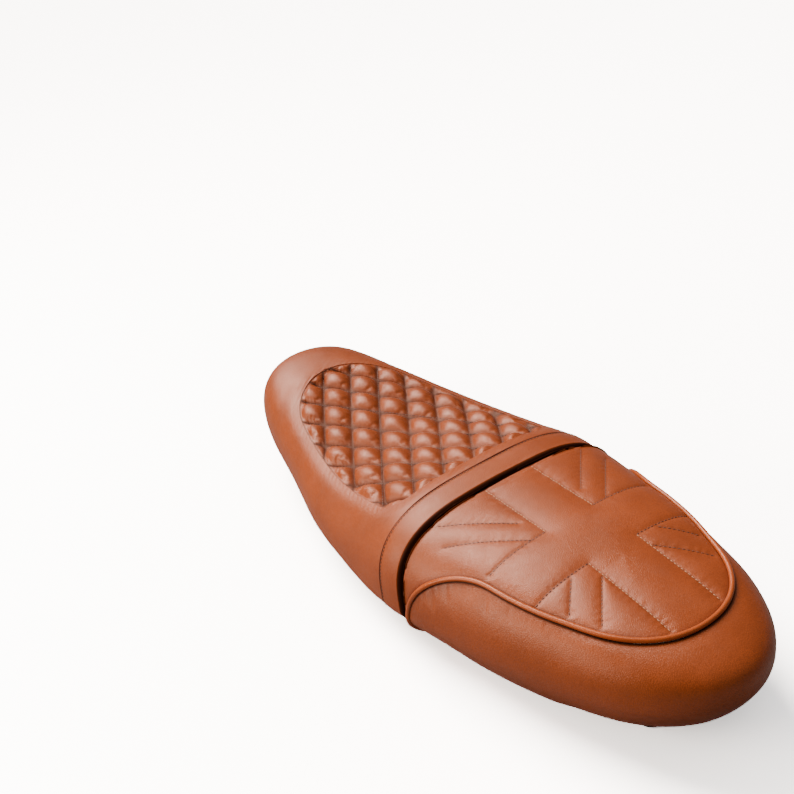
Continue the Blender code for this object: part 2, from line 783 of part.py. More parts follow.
def add_bosses(pan, module, bosses):
    """Round bosses (x, y, radius, low z, bore radius, bore top) under the floor."""
    posts = Solid()
    bores = Solid()
    for x, y, radius, low, bore, bore_top in bosses:
        posts.post((x, y), radius, low, lambda at: module.floor_z(at) + ROOT)
        bores.turned((x, y), ((bore, low - CUTTER_SPARE), (bore, bore_top)))
    bake_boolean(pan, posts.object("bosses", "plastic"), "UNION")
    bake_boolean(pan, bores.object("bores", "plastic"), "DIFFERENCE")


def both_sides(places):
    return [(x, side * y) for x, y in places for side in SIDES]


def left_and_right(places):
    return list(zip(("left", "right"), both_sides(places)))


def buffer_bosses(places):
    return [(x, y, BOSS_RADIUS, BOSS_LOW, BORE_RADIUS, BORE_TOP) for x, y in both_sides(places)]


def make_buffers(name, place):
    """A pair of rubber feet, each with a chamfered sole and a push-in stem."""
    profile = ((BUFFER_RADIUS - BUFFER_CHAMFER, 0.0), (BUFFER_RADIUS, BUFFER_CHAMFER),
               (BUFFER_RADIUS, BUFFER_TOP), (STEM_RADIUS, BUFFER_TOP), (STEM_RADIUS, STEM_TOP))
    for label, centre in left_and_right([place]):
        foot = Solid()
        foot.turned(centre, profile, sides=18)
        foot.object(f"{name}_{label}", "rubber")


# ---------------------------------------------------------------- steel parts
def joggled_plate(shape, y_low, y_high, solid):
    """A steel strip that runs flat, steps down and runs flat again."""
    t = SHEET_STEEL
    back, bend, foot, tip = (shape[k] for k in ("back", "bend", "foot", "tip"))
    high, low = shape["high"], shape["low"]
    solid.plate([(back, high), (bend - t * 0.4, high), (foot - t * 0.9, low), (tip, low),
                 (tip, low + t), (foot, low + t), (bend + t * 0.5, high + t), (back, high + t)],
                y_low, y_high)


def drill(target, holes, low, thick, radius):
    """Round holes through a flat piece whose underside is at low."""
    cutter = Solid()
    for centre in holes:
        cutter.turned(centre, ((radius, low - CUTTER_SPARE), (radius, low + thick + CUTTER_SPARE)),
                      sides=20)
    bake_boolean(target, cutter.object("drill", "steel"), "DIFFERENCE")


def make_bolt(name, centre, plate_low):
    """A hexagon-head bolt that comes up through a plate into one of the pan's bosses."""
    head_top = plate_low - FIT_GAP
    shank_top = plate_low + SHEET_STEEL + BOLT_BITE
    head = Solid()
    head.turned(centre, ((BOLT_HEAD - BOLT_CHAMFER, head_top - BOLT_HEAD_HIGH),
                         (BOLT_HEAD, head_top - BOLT_HEAD_HIGH + BOLT_CHAMFER),
                         (BOLT_HEAD, head_top)), sides=6)
    shank = Solid()
    shank.turned(centre, ((BOLT_SHANK, head_top - BOLT_HEAD_HIGH / 2), (BOLT_SHANK, shank_top)), sides=12)
    bolt = head.object(name, "zinc", 30.0)
    bake_boolean(bolt, shank.object("shank", "zinc"), "UNION")


def make_bolts(name, place, plate_low):
    for label, centre in left_and_right([place]):
        make_bolt(f"{name}_{label}", centre, plate_low)


def make_striker():
    plate = Solid()
    plate.box((STRIKER_X - STRIKER_PLATE_X, -STRIKER_PLATE_Y, STRIKER_PLATE_Z),
              (STRIKER_X + STRIKER_PLATE_X, STRIKER_PLATE_Y, STRIKER_PLATE_Z + SHEET_STEEL))
    item = plate.object("striker_plate", "steel")
    drill(item, both_sides([STRIKER_BOLT]), STRIKER_PLATE_Z, SHEET_STEEL, BOLT_HOLE)
    bend = STRIKER_BEND
    path = []
    for side in SIDES:
        half = [Vector((STRIKER_X, side * STRIKER_LEG_Y, STRIKER_PLATE_Z - FIT_GAP)),
                Vector((STRIKER_X, side * STRIKER_LEG_Y, STRIKER_BAR_Z + bend))]
        for degrees in (30, 60, 90):
            turn = math.radians(degrees)
            half.append(Vector((STRIKER_X, side * (STRIKER_LEG_Y - bend * (1 - math.cos(turn))),
                                STRIKER_BAR_Z + bend * (1 - math.sin(turn)))))
        path += half if side == SIDES[0] else half[::-1]
    loop = Solid()
    loop.tube(path, STRIKER_ROD, sides=12)
    loop.object("striker_loop", "zinc")
    make_bolts("striker_bolt", STRIKER_BOLT, STRIKER_PLATE_Z)


def make_tongue():
    plate = Solid()
    joggled_plate(TONGUE, -TONGUE_WIDTH / 2, TONGUE_WIDTH / 2, plate)
    item = plate.object("seat_tongue", "steel")
    drill(item, both_sides([TONGUE_BOLT]), TONGUE["high"], SHEET_STEEL, BOLT_HOLE)
    make_bolts("tongue_bolt", TONGUE_BOLT, TONGUE["high"])


def make_tangs():
    for label, centre in left_and_right([TANG_BOLT]):
        plate = Solid()
        joggled_plate(TANG, centre[1] - TANG_WIDTH / 2, centre[1] + TANG_WIDTH / 2, plate)
        item = plate.object(f"front_tang_{label}", "steel")
        drill(item, [centre], TANG["high"], SHEET_STEEL, BOLT_HOLE)
    make_bolts("tang_bolt", TANG_BOLT, TANG["high"])


def make_bracket():
    """A hat-shaped cross plate: raised where it is bolted to the pan, with a foot each side."""
    t = SHEET_STEEL
    under = [(-BRACKET_HALF_WIDE, BRACKET_LOW), (-BRACKET_FOOT, BRACKET_LOW),
             (-BRACKET_MIDDLE, BRACKET_HIGH), (BRACKET_MIDDLE, BRACKET_HIGH),
             (BRACKET_FOOT, BRACKET_LOW), (BRACKET_HALF_WIDE, BRACKET_LOW)]
    over = [(y * (1 + BRACKET_LEAN if abs(y) < BRACKET_HALF_WIDE else 1), z + t)
            for y, z in reversed(under)]
    plate = Solid()
    plate.plate([*under, *over], -BRACKET_HALF_LONG, BRACKET_HALF_LONG)
    plate.points = [Vector((BRACKET_X + p.y, p.x, p.z)) for p in plate.points]
    item = plate.object("rear_bracket", "steel")
    drill(item, both_sides([BRACKET_BOLT]), BRACKET_HIGH, t, BOLT_HOLE)
    drill(item, both_sides([WELD_NUT]), BRACKET_LOW, t, FRAME_BOLT_HOLE)
    make_bolts("bracket_bolt", BRACKET_BOLT, BRACKET_HIGH)
    top = BRACKET_LOW + t
    for label, centre in left_and_right([WELD_NUT]):
        nut = Solid()
        nut.turned(centre, ((NUT_RADIUS, top + FIT_GAP), (NUT_RADIUS, top + NUT_HIGH)), sides=6)
        item = nut.object(f"weld_nut_{label}", "zinc", 20.0)
        drill(item, [centre], top, NUT_HIGH, FRAME_BOLT_RADIUS)


def bolt_bosses(place, plate_low):
    low = plate_low + SHEET_STEEL + FIT_GAP
    bore_top = low + BOLT_BITE + BORE_SPARE
    return [(x, y, BOLT_BOSS_RADIUS, low, BOLT_HOLE, bore_top) for x, y in both_sides([place])]


# ---------------------------------------------------------------- assembly
def make_rider():
    make_rider_covers()
    make_foam("rider_foam", rider_foam_depth, RIDER)
    make_wall("rider_rear_wall", RIDER)
    pan = make_pan("rider_base_pan", RIDER)
    add_ribs(pan, RIDER, RIDER_RIBS)
    add_bosses(pan, RIDER, [*buffer_bosses(RIDER_BUFFERS),
                            *bolt_bosses(TONGUE_BOLT, TONGUE["high"]),
                            *bolt_bosses(STRIKER_BOLT, STRIKER_PLATE_Z)])
    make_buffers("rider_rear_buffer", RIDER_BUFFERS[0])
    make_buffers("rider_front_buffer", RIDER_BUFFERS[1])
    make_tongue()
    make_striker()


def make_pillion():
    make_pillion_covers()
    make_foam("pillion_foam", pillion_foam_depth, PILLION)
    make_wall("pillion_front_wall", PILLION)
    pan = make_pan("pillion_base_pan", PILLION)
    add_ribs(pan, PILLION, PILLION_RIBS)
    add_bosses(pan, PILLION, [*buffer_bosses(PILLION_BUFFERS),
                              *bolt_bosses(TANG_BOLT, TANG["high"]),
                              *bolt_bosses(BRACKET_BOLT, BRACKET_HIGH)])
    make_buffers("pillion_front_buffer", PILLION_BUFFERS[0])
    make_buffers("pillion_rear_buffer", PILLION_BUFFERS[1])
    make_tangs()
    make_bracket()


def hang_on_axis():
    """Parent every piece made so far to an empty on the rider seat's tilt axis."""
    pieces = list(bpy.data.objects)
    axis = bpy.data.objects.new("rider_seat_axis", None)
    axis.location = TILT_AXIS
    bpy.context.collection.objects.link(axis)
    bpy.context.view_layer.update()
    for piece in pieces:
        piece.parent = axis
        piece.matrix_parent_inverse = axis.matrix_world.inverted()


clear_scene()
make_rider()
hang_on_axis()
make_pillion()
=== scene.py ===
"""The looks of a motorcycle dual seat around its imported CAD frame.

Metres, +X towards the nose, +Y to the left, +Z up, as in the CAD.
"""

import json
import math

import bpy
import numpy as np
from mathutils import Matrix, Vector
from mathutils.bvhtree import BVHTree
from mathutils.kdtree import KDTree


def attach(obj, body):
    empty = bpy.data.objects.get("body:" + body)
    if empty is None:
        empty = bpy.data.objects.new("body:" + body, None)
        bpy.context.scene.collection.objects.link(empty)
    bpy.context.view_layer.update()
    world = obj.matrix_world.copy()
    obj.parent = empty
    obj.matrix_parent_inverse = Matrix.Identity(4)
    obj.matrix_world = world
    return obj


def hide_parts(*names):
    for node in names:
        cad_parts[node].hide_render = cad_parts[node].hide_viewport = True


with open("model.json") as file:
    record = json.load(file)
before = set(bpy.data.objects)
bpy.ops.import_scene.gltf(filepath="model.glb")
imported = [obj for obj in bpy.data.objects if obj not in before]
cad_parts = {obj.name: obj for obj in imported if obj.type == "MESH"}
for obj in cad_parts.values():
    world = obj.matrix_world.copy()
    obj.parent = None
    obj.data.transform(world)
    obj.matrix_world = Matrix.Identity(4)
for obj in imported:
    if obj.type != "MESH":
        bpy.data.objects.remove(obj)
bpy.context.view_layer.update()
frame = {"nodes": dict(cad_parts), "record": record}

# ---------------------------------------------------------------- the cover's driving dimensions
TAIL_X = -0.330
NOSE_X = 0.330
HALF_WIDTH = ((-0.22, 0.0960), (-0.12, 0.1115), (-0.02, 0.1235), (0.08, 0.1175), (0.18, 0.0945),
              (0.27, 0.0720))
CROWN_Z = ((-0.33, 0.1050), (-0.24, 0.1170), (-0.14, 0.1245), (-0.03, 0.1245), (0.02, 0.1160),
           (0.12, 0.1025), (0.22, 0.1075), (0.33, 0.1180))
SHOULDER_Z = ((-0.33, 0.0825), (0.00, 0.0335), (0.33, 0.0655))
HEM_Z = ((-0.33, 0.0370), (-0.12, 0.0090), (0.10, 0.0345), (0.33, 0.0140))
TAIL_ROUND_X = -0.149
NOSE_ROUND_X = 0.236
TAIL_POWER = 2.3
NOSE_POWER = 2.6
FAN_TAIL_X = -0.200
FAN_NOSE_X = 0.260
PILLION_POWER = 3.23
RIDER_POWER = 2.76
HEM_TUCK = 0.0188
EASE = 0.024

GAP_X = -0.053
HALF_GAP = 0.0018
BAND_FRONT_X = -0.022
QUILT_REAR_X = -0.008
QUILT_FRONT_X = 0.250
QUILT_HALF_WIDTH = 0.0905
QUILT_CORNER = 0.022
PIPING_Z = 0.1085
PIPING_RISE_X = -0.150
PIPING_FOOT_X = -0.0570
PIPING_BEND = 2.3
PIPING_RADIUS = 0.0022
PILLION_LIP_X = -0.0730

LEATHER = 0.0016
SETTLE_SCALE = 10.0          # the cloth solver suits sheets of metres, so they settle this much larger
SETTLE_FRAMES = 20
SETTLE_BENDING = 2.0
QUILT_PUFF = (9.0, 0.0045, 0.020)
SIDE_PUFF = (1.2, 0.002, 0.0015)
TOP_PUFF = (1.6, 0.0022, 0.0022)
GAP_ROLL = 0.0034
WALL_COLUMNS = 72
FOAM_VOXEL = 0.004
CROWDING = 0.75              # how far grid rows close up towards a fine end
ABOVE_SEAT = 0.16            # height from which rays are cast down on the leather
STAPLE_INSET = 0.0092        # from the hem's edge
STAPLE_STEPS = 34            # between staples, in half millimetres
SIDES = (1, -1)

# ---------------------------------------------------------------- sewing and quilting
DIAMOND_LONG = 0.053         # quilt diamonds along the seat
DIAMOND_WIDE = 0.034         # and across it
PILLOW_HEIGHT = 0.0084
PILLOW_TOP = 0.0022          # how far the pillows stand above the cover's surface
STITCH_PITCH = 0.0036
STITCH_LENGTH = 0.0029
THREAD_RADIUS = 0.00033
LONG_LINE_Y = 0.0255         # the pillion's lines run along the seat at this distance
CROSS_LINE_X = (-0.137, -0.188)
CROSS_LINE_END = 0.085
FRONT_DIAGONALS = (((-0.0610, 0.0800), (-0.1130, 0.0340)), ((-0.0820, 0.0900), (-0.1370, 0.0400)))
REAR_DIAGONALS = (((-0.1910, 0.0460), (-0.2140, 0.0690)), ((-0.2050, 0.0270), (-0.2390, 0.0590)))


# ---------------------------------------------------------------- outer shape
def smooth_value(knots, x):
    """Cubic curve through the knots, level where they turn, held beyond the first and last."""
    xs, ys = (np.array(column) for column in zip(*knots))
    slopes = np.diff(ys) / np.diff(xs)
    before, after = slopes[:-1], slopes[1:]
    product = before * after
    inner = np.where(product > 0, 2 * product / np.where(product > 0, before + after, 1.0), 0.0)
    tangents = np.concatenate([slopes[:1], inner, slopes[-1:]])
    x = np.clip(x, xs[0], xs[-1])
    k = np.clip(np.searchsorted(xs, x, side="right") - 1, 0, len(xs) - 2)
    step = xs[k + 1] - xs[k]
    t = (x - xs[k]) / step
    return ((2 * t**3 - 3 * t**2 + 1) * ys[k] + (t**3 - 2 * t**2 + t) * step * tangents[k]
            + (3 * t**2 - 2 * t**3) * ys[k + 1] + (t**3 - t**2) * step * tangents[k + 1])


def straight_value(knots, x):
    xs, ys = zip(*knots)
    return np.interp(x, xs, ys)


def eased(curve, knots, x):
    """The curve with its corners rounded over a few centimetres."""
    shares = (1, 2, 3, 4, 3, 2, 1)
    steps = np.linspace(-EASE, EASE, len(shares))
    return sum(share * curve(knots, x + step) for share, step in zip(shares, steps)) / sum(shares)


def half_width(x):
    tail = np.clip((TAIL_ROUND_X - x) / (TAIL_ROUND_X - TAIL_X), 0, 1)
    nose = np.clip((x - NOSE_ROUND_X) / (NOSE_X - NOSE_ROUND_X), 0, 1)
    rounding = np.sqrt(1 - tail**TAIL_POWER) * np.sqrt(1 - nose**NOSE_POWER)
    return eased(smooth_value, HALF_WIDTH, x) * rounding


def section_power(x):
    blend = 1 / (1 + np.exp(-x / 0.02))
    return PILLION_POWER * (1 - blend) + RIDER_POWER * blend


def hem_z(x):
    return smooth_value(HEM_Z, x)


def spine_x(station):
    return np.clip(station, FAN_TAIL_X, FAN_NOSE_X)


def surface(station, v):
    """Points of the cover: |v| is 0 on the crown line, 1 at the shoulder and 2 at the hem."""
    station, v = np.broadcast_arrays(np.asarray(station, float), np.asarray(v, float))
    side = np.where(v < 0, -1.0, 1.0)
    v = np.abs(v)
    centre = spine_x(station)
    width = half_width(station)
    turn = np.minimum(v, 1.0) * math.pi / 2
    power = 2 / section_power(station)
    out = np.sin(turn)**power
    up = np.maximum(0.0, np.cos(turn))**power
    x = centre + (station - centre) * out
    y = width * out
    shoulder = eased(straight_value, SHOULDER_Z, station)
    z = shoulder + (smooth_value(CROWN_Z, x) - shoulder) * up
    down = np.maximum(0.0, v - 1.0)
    reach = np.hypot(station - centre, width) + 1e-9
    tuck = HEM_TUCK * down**2 / reach
    x = x - (station - centre) * tuck
    y = y - width * tuck
    z = z - (shoulder - hem_z(station)) * down
    return np.stack([x, side * y, z], axis=-1)


def v_at_height(station, z):
    """The v at which the cover passes height z, for arrays of stations and heights."""
    low = np.zeros_like(station)
    high = np.full_like(station, 2.0)
    for _ in range(40):
        middle = (low + high) / 2
        above = surface(station, middle)[..., 2] > z
        low = np.where(above, middle, low)
        high = np.where(above, high, middle)
    return (low + high) / 2


def quilt_half_width(x):
    """Half-width of the shield-shaped quilted panel."""
    swell = np.maximum(0.0, (x - 0.05) / 0.155)
    front = np.clip((x - 0.19) / (QUILT_FRONT_X - 0.19), 0, 1)
    width = (QUILT_HALF_WIDTH - 0.0285 * swell**1.6) * np.sqrt(1 - front**2.6)
    back = np.maximum(0.0, QUILT_REAR_X + QUILT_CORNER - np.maximum(x, QUILT_REAR_X))
    return width - QUILT_CORNER + np.sqrt(np.maximum(0.0, QUILT_CORNER**2 - back**2))


def quilt_v(station):
    x = np.clip(station, QUILT_REAR_X, QUILT_FRONT_X)
    share = np.clip(quilt_half_width(x) / half_width(x), 0, 1)
    v = np.arcsin(share**(section_power(x) / 2)) * 2 / math.pi
    return np.where(station >= QUILT_FRONT_X, 0.0, v)


def piping_height(station):
    share = np.clip((station - PIPING_RISE_X) / (PIPING_FOOT_X - PIPING_RISE_X), 0, 1)
    low = hem_z(station)
    return low + (PIPING_Z - low) * (1 - share**PIPING_BEND)**(1 / PIPING_BEND)


def piping_v(station):
    v = v_at_height(station, piping_height(station))
    return np.where(station >= PIPING_FOOT_X, 2.0, v)


def hem_point(module, station, inset):
    """Points of the turned-in hem, inset from the hem's edge."""
    start = module["stations"][0] if module["forward"] > 0 else module["stations"][-1]
    length = abs(module["stations"][-1] - module["stations"][0])
    along = start + module["forward"] * inset + (station - start) * (1 - inset / length)
    point = surface(along, np.full_like(along, 2.0))
    inward = np.stack([spine_x(along) - point[..., 0], -point[..., 1]], axis=-1)
    size = np.linalg.norm(inward, axis=-1, keepdims=True)
    inward = inward / np.maximum(size, 1e-9)
    flat = np.concatenate([inward, np.zeros_like(size)], axis=-1)
    point = point + flat * inset
    point[..., 2] = hem_z(along)
    return point


# ---------------------------------------------------------------- grids over the cover
def spread(low, high, step, seams, finest, curves):
    """Stations a step apart along the given curves, and closer together beside the seams."""
    x = low + (high - low) * (1 - np.cos(np.linspace(0, np.pi, 20001))) / 2
    run = np.diff(x)**2
    for curve in curves:
        run = run + np.diff(curve(x))**2
    middle = (x[1:] + x[:-1]) / 2
    pitch = np.full_like(middle, step)
    for seam in seams:
        pitch = np.minimum(pitch, finest + 0.22 * np.abs(middle - seam))
    count = np.concatenate([[0], np.cumsum(np.sqrt(run) / pitch)])
    total = math.ceil(count[-1])
    return np.interp(np.linspace(0, count[-1], total + 1), count, x)


def joined_spread(edges, step, seams, finest, curves):
    parts = [spread(a, b, step, seams, finest, curves) for a, b in zip(edges, edges[1:])]
    return np.concatenate([parts[0], *[part[1:] for part in parts[1:]]])


def shares(count, fine_start):
    """Fractions from 0 to 1, closer together at the end, and at the start as well if fine_start."""
    t = np.linspace(0, 1, count + 1)
    if fine_start:
        return t - np.sin(2 * np.pi * t) / (2 * np.pi) * CROWDING
    return t + np.sin(np.pi * t) / np.pi * CROWDING


def even_rows(stations, v_low, v_high, fractions):
    """v values at these fractions of the section's length, for each station."""
    fine = np.linspace(0, 1, 161)**1.4
    rows = np.zeros((len(stations), len(fractions)))
    for k, station in enumerate(stations):
        v = v_low[k] + (v_high[k] - v_low[k]) * fine
        points = surface(station, v)
        steps = np.linalg.norm(np.diff(points, axis=0), axis=1)
        run = np.concatenate([[0], np.cumsum(steps)])
        if run[-1] < 1e-7:
            rows[k] = v_low[k]
        else:
            rows[k] = np.interp(fractions * run[-1], run, v)
    return rows


LIP_STEPS = np.array((0.0006, 0.0014, 0.0026, 0.0044, 0.0068, 0.0096, 0.0124, 0.0150))


def make_cover(stations, forward, split, top_rows, side_rows):
    """The module's cover: merged points, outward normals and a grid of point numbers."""
    module = {"stations": stations, "forward": forward}
    split_v = split(stations)
    top = even_rows(stations, np.zeros_like(stations), split_v, shares(top_rows, False))
    side = even_rows(stations, split_v, np.full_like(stations, 2.0), shares(side_rows, True))
    half = np.concatenate([top, side[:, 1:]], axis=1)
    halves = []
    for sign in SIDES:
        points = surface(stations[:, None], half)
        points[..., 1] *= sign
        lip = np.stack([hem_point(module, stations, inset) for inset in LIP_STEPS], axis=1)
        lip[..., 1] *= sign
        grid = np.concatenate([points, lip], axis=1)
        hem = half.shape[1] - 1
        for _ in range(5):
            low, high = hem - 3, hem + 3
            middle = grid[:, low:high]
            around = grid[:, low - 1:high - 1] + grid[:, low + 1:high + 1]
            grid[:, low:high] = 0.5 * middle + 0.25 * around
        halves.append(grid)
    grid = np.concatenate([halves[1][:, :0:-1], halves[0]], axis=1)
    shape = grid.shape[:2]
    keys = np.round(grid.reshape(-1, 3) * 5e5).astype(np.int64)
    _, first, number = np.unique(keys, axis=0, return_index=True, return_inverse=True)
    module["points"] = grid.reshape(-1, 3)[first]
    module["number"] = number.reshape(shape)
    module["columns"] = np.arange(shape[1]) - (shape[1] - 1) // 2
    module["split"] = top_rows
    module["hem"] = top_rows + side_rows
    module["last"] = (shape[1] - 1) // 2
    module["normals"] = vertex_normals(module["points"], grid_faces(module, None))
    gap = module["number"][0 if forward > 0 else -1]
    module["normals"][gap, 0] = 0
    module["normals"][gap] /= np.linalg.norm(module["normals"][gap], axis=1, keepdims=True)
    return module


def grid_faces(module, wanted):
    """Quads, as rows of point numbers; wanted(station, column) picks cells by their middle."""
    number = module["number"]
    a, b = number[:-1, :-1], number[1:, :-1]
    c, d = number[1:, 1:], number[:-1, 1:]
    quads = np.stack([a, b, c, d], axis=-1)
    if wanted is None:
        return quads.reshape(-1, 4)
    station = (module["stations"][:-1] + module["stations"][1:]) / 2
    column = np.abs(module["columns"][:-1] + module["columns"][1:]) / 2
    keep = wanted(station[:, None], column[None, :])
    return quads[np.broadcast_to(keep, quads.shape[:2])]


def vertex_normals(points, quads):
    across = points[quads[:, 2]] - points[quads[:, 0]]
    other = points[quads[:, 3]] - points[quads[:, 1]]
    face = np.cross(across, other)
    normals = np.zeros_like(points)
    for corner in range(4):
        np.add.at(normals, quads[:, corner], face)
    size = np.linalg.norm(normals, axis=1, keepdims=True)
    return normals / np.maximum(size, 1e-15)


def dense(points, pitch=0.0003):
    """The polyline through the points, sampled finely."""
    steps = np.linalg.norm(np.diff(points, axis=0), axis=1)
    run = np.concatenate([[0], np.cumsum(steps)])
    keep = np.concatenate([[True], np.diff(run) > 1e-9])
    run, points = run[keep], points[keep]
    at = np.linspace(0, run[-1], max(2, int(run[-1] / pitch)))
    return np.stack([np.interp(at, run, points[:, k]) for k in range(3)], axis=1)


def distance_to(lines, points):
    """Distance of each point to the nearest of some polylines."""
    spots = np.concatenate([dense(np.asarray(line)) for line in lines])
    tree = KDTree(len(spots))
    for k, spot in enumerate(spots):
        tree.insert(spot, k)
    tree.balance()
    return np.array([tree.find(p)[2] for p in points])


# ---------------------------------------------------------------- relief of the leather
def roll(distance, radius):
    """Depth of a rounded edge: a quarter circle that ends at the seam."""
    short = np.clip(radius - distance, 0, radius)
    return radius - np.sqrt(np.maximum(radius**2 - short**2, 0))


def waves(points, size, seed):
    """Slow, smooth unevenness between -1 and 1."""
    random = np.random.default_rng(seed)
    total = np.zeros(len(points))
    for _ in range(7):
        direction = random.normal(size=3)
        direction *= 2 * np.pi / size / np.linalg.norm(direction) * random.uniform(0.7, 1.5)
        total += np.sin(points @ direction + random.uniform(0, 2 * np.pi))
    return total / 4


def line_distance(points, start, end):
    """Distance in plan from a straight line between two points, and how far along it."""
    start, end = np.array(start), np.array(end)
    run = end - start
    length = np.linalg.norm(run)
    offset = points[:, :2] - start
    t = np.clip(offset @ run / length**2, 0, 1)
    return np.linalg.norm(offset - t[:, None] * run, axis=1), t * length


def pillow_height(points):
    """Height of the quilted pillows over their stitch lines, from 0 to 1, with gathers."""
    slope = DIAMOND_WIDE / DIAMOND_LONG
    x, y = points[:, 0] - QUILT_REAR_X, points[:, 1]
    first = (x - y / slope) / DIAMOND_LONG
    second = (x + y / slope) / DIAMOND_LONG
    narrow = DIAMOND_LONG * DIAMOND_WIDE / np.hypot(DIAMOND_LONG, DIAMOND_WIDE)
    gathers = np.zeros(len(points))
    rise = []
    for coordinate, other in ((first, second), (second, first)):
        away = np.abs(coordinate - np.round(coordinate)) * narrow
        rise.append(np.sin(np.pi * np.clip(away / narrow, 0, 0.5)))
        phase = other * 2 * np.pi * 9 + 1.7 * np.sin(5.1 * np.round(coordinate) + 2.3 * other)
        gathers += 0.045 * np.sin(phase) * np.exp(-away / 0.0034) * (1 - np.exp(-away / 0.0012))
    soft = 0.10
    product = np.sqrt(rise[0]**2 + soft**2) - soft
    product = product * (np.sqrt(rise[1]**2 + soft**2) - soft) / (math.hypot(1, soft) - soft)**2
    return np.clip(product, 0, 1)**0.58 + gathers


def groove(distance, width):
    return np.exp(-(distance / width)**2)


def edge_shadow(distance, width):
    """1 up to the width and fading out just beyond it."""
    return 1 / (1 + np.exp(np.clip((distance - width) / (0.09 * width), -40, 40)))


# ---------------------------------------------------------------- mesh pieces
def make_object(name, points, faces, material, body, replaces=()):
    mesh = bpy.data.meshes.new(name)
    mesh.from_pydata([tuple(p) for p in points], [], [tuple(f) for f in faces])
    mesh.validate()
    mesh.shade_smooth()
    mesh.materials.append(material)
    item = bpy.data.objects.new(name, mesh)
    bpy.context.scene.collection.objects.link(item)
    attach(item, body)
    if replaces:
        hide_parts(*replaces)
    return item


def clean_faces(quads):
    """Quads without repeated corners, as lists."""
    faces = []
    for quad in quads:
        corners = list(dict.fromkeys(int(n) for n in quad))
        if len(corners) >= 3:
            faces.append(corners)
    return faces


def thick_sheet(points, faces, thickness):
    """A closed sheet: the given outer face, an inner face below it, and its edges."""
    triangles = np.array([[f[0], f[1], f[2], f[-1]] for f in faces])
    normals = vertex_normals(points, triangles)
    count = len(points)
    inner = points - normals * thickness
    edges = {}
    for face in faces:
        for a, b in zip(face, face[1:] + face[:1]):
            edges[(a, b)] = True
    rim = [(b, a, a + count, b + count) for a, b in edges if (b, a) not in edges]
    under = [[n + count for n in reversed(face)] for face in faces]
    return np.concatenate([points, inner]), [*faces, *under, *rim]


def settle(points, faces, held, pressure, cap, spare):
    """Let the stuffing push a sheet out between its held points, as a cloth simulation.

    held is 1 where the stitches hold the sheet and 0 where it is free, spare is how much
    longer the leather is than the shape it starts from, and no point moves as far as cap.
    The sheet comes with its shape already pressed in, which this only loosens a little.
    """
    mesh = bpy.data.meshes.new("settling_sheet")
    mesh.from_pydata([tuple(p) for p in points * SETTLE_SCALE], [], faces)
    sheet = bpy.data.objects.new("settling_sheet", mesh)
    bpy.context.scene.collection.objects.link(sheet)
    group = sheet.vertex_groups.new(name="held")
    for number in np.nonzero(held > 0.01)[0]:
        group.add([int(number)], float(held[number]), "REPLACE")
    cloth = sheet.modifiers.new("settle", "CLOTH")
    cloth.settings.quality = 5
    cloth.settings.mass = 0.3
    cloth.settings.tension_stiffness = 15
    cloth.settings.compression_stiffness = 15
    cloth.settings.shear_stiffness = 5
    cloth.settings.bending_stiffness = SETTLE_BENDING
    cloth.settings.vertex_group_mass = "held"
    cloth.settings.use_pressure = True
    cloth.settings.uniform_pressure_force = pressure
    cloth.settings.shrink_min = -spare
    cloth.settings.effector_weights.gravity = 0
    cloth.point_cache.frame_start = 1
    cloth.point_cache.frame_end = SETTLE_FRAMES
    for number in range(1, SETTLE_FRAMES + 1):
        bpy.context.scene.frame_set(number)
    graph = bpy.context.evaluated_depsgraph_get()
    result = sheet.evaluated_get(graph).to_mesh()
    settled = np.empty(len(points) * 3, dtype=np.float32)
    result.vertices.foreach_get("co", settled)
    settled = settled.reshape(-1, 3) / SETTLE_SCALE
    bpy.data.objects.remove(sheet)
    bpy.context.scene.frame_set(1)
    moved = settled - points
    far = np.linalg.norm(moved, axis=1, keepdims=True)
    return points + moved * cap * np.tanh(far / cap) / np.maximum(far, 1e-9)


def make_panel(name, module, wanted, relief, material, body, replaces, thickness=LEATHER,
               puff=None):
    """A leather panel cut from a module's cover, with its relief pressed into it.

    puff holds the pressure, the cap and the spare leather of its cloth simulation.
    """
    quads = grid_faces(module, wanted)
    used, local = np.unique(quads, return_inverse=True)
    points = module["points"][used]
    normals = module["normals"][used]
    raised = points + normals * relief(points, normals)[:, None]
    faces = clean_faces(local.reshape(-1, 4))
    if puff:
        raised = settle(raised, faces, relief.held, *puff)
    points, faces = thick_sheet(raised, faces, thickness)
    return make_object(name, points, faces, material, body, replaces)


def row_line(module, column, low, high):
    """The points of one column of the grid, between two stations."""
    keep = (module["stations"] >= low) & (module["stations"] <= high)
    return module["points"][module["number"][keep][:, column + module["last"]]]


def station_line(module, x, reach=None):
    """The points of one station, out to a column."""
    k = int(np.argmin(np.abs(module["stations"] - x)))
    reach = module["hem"] if reach is None else reach
    middle = module["last"]
    return module["points"][module["number"][k, middle - reach:middle + reach + 1]]


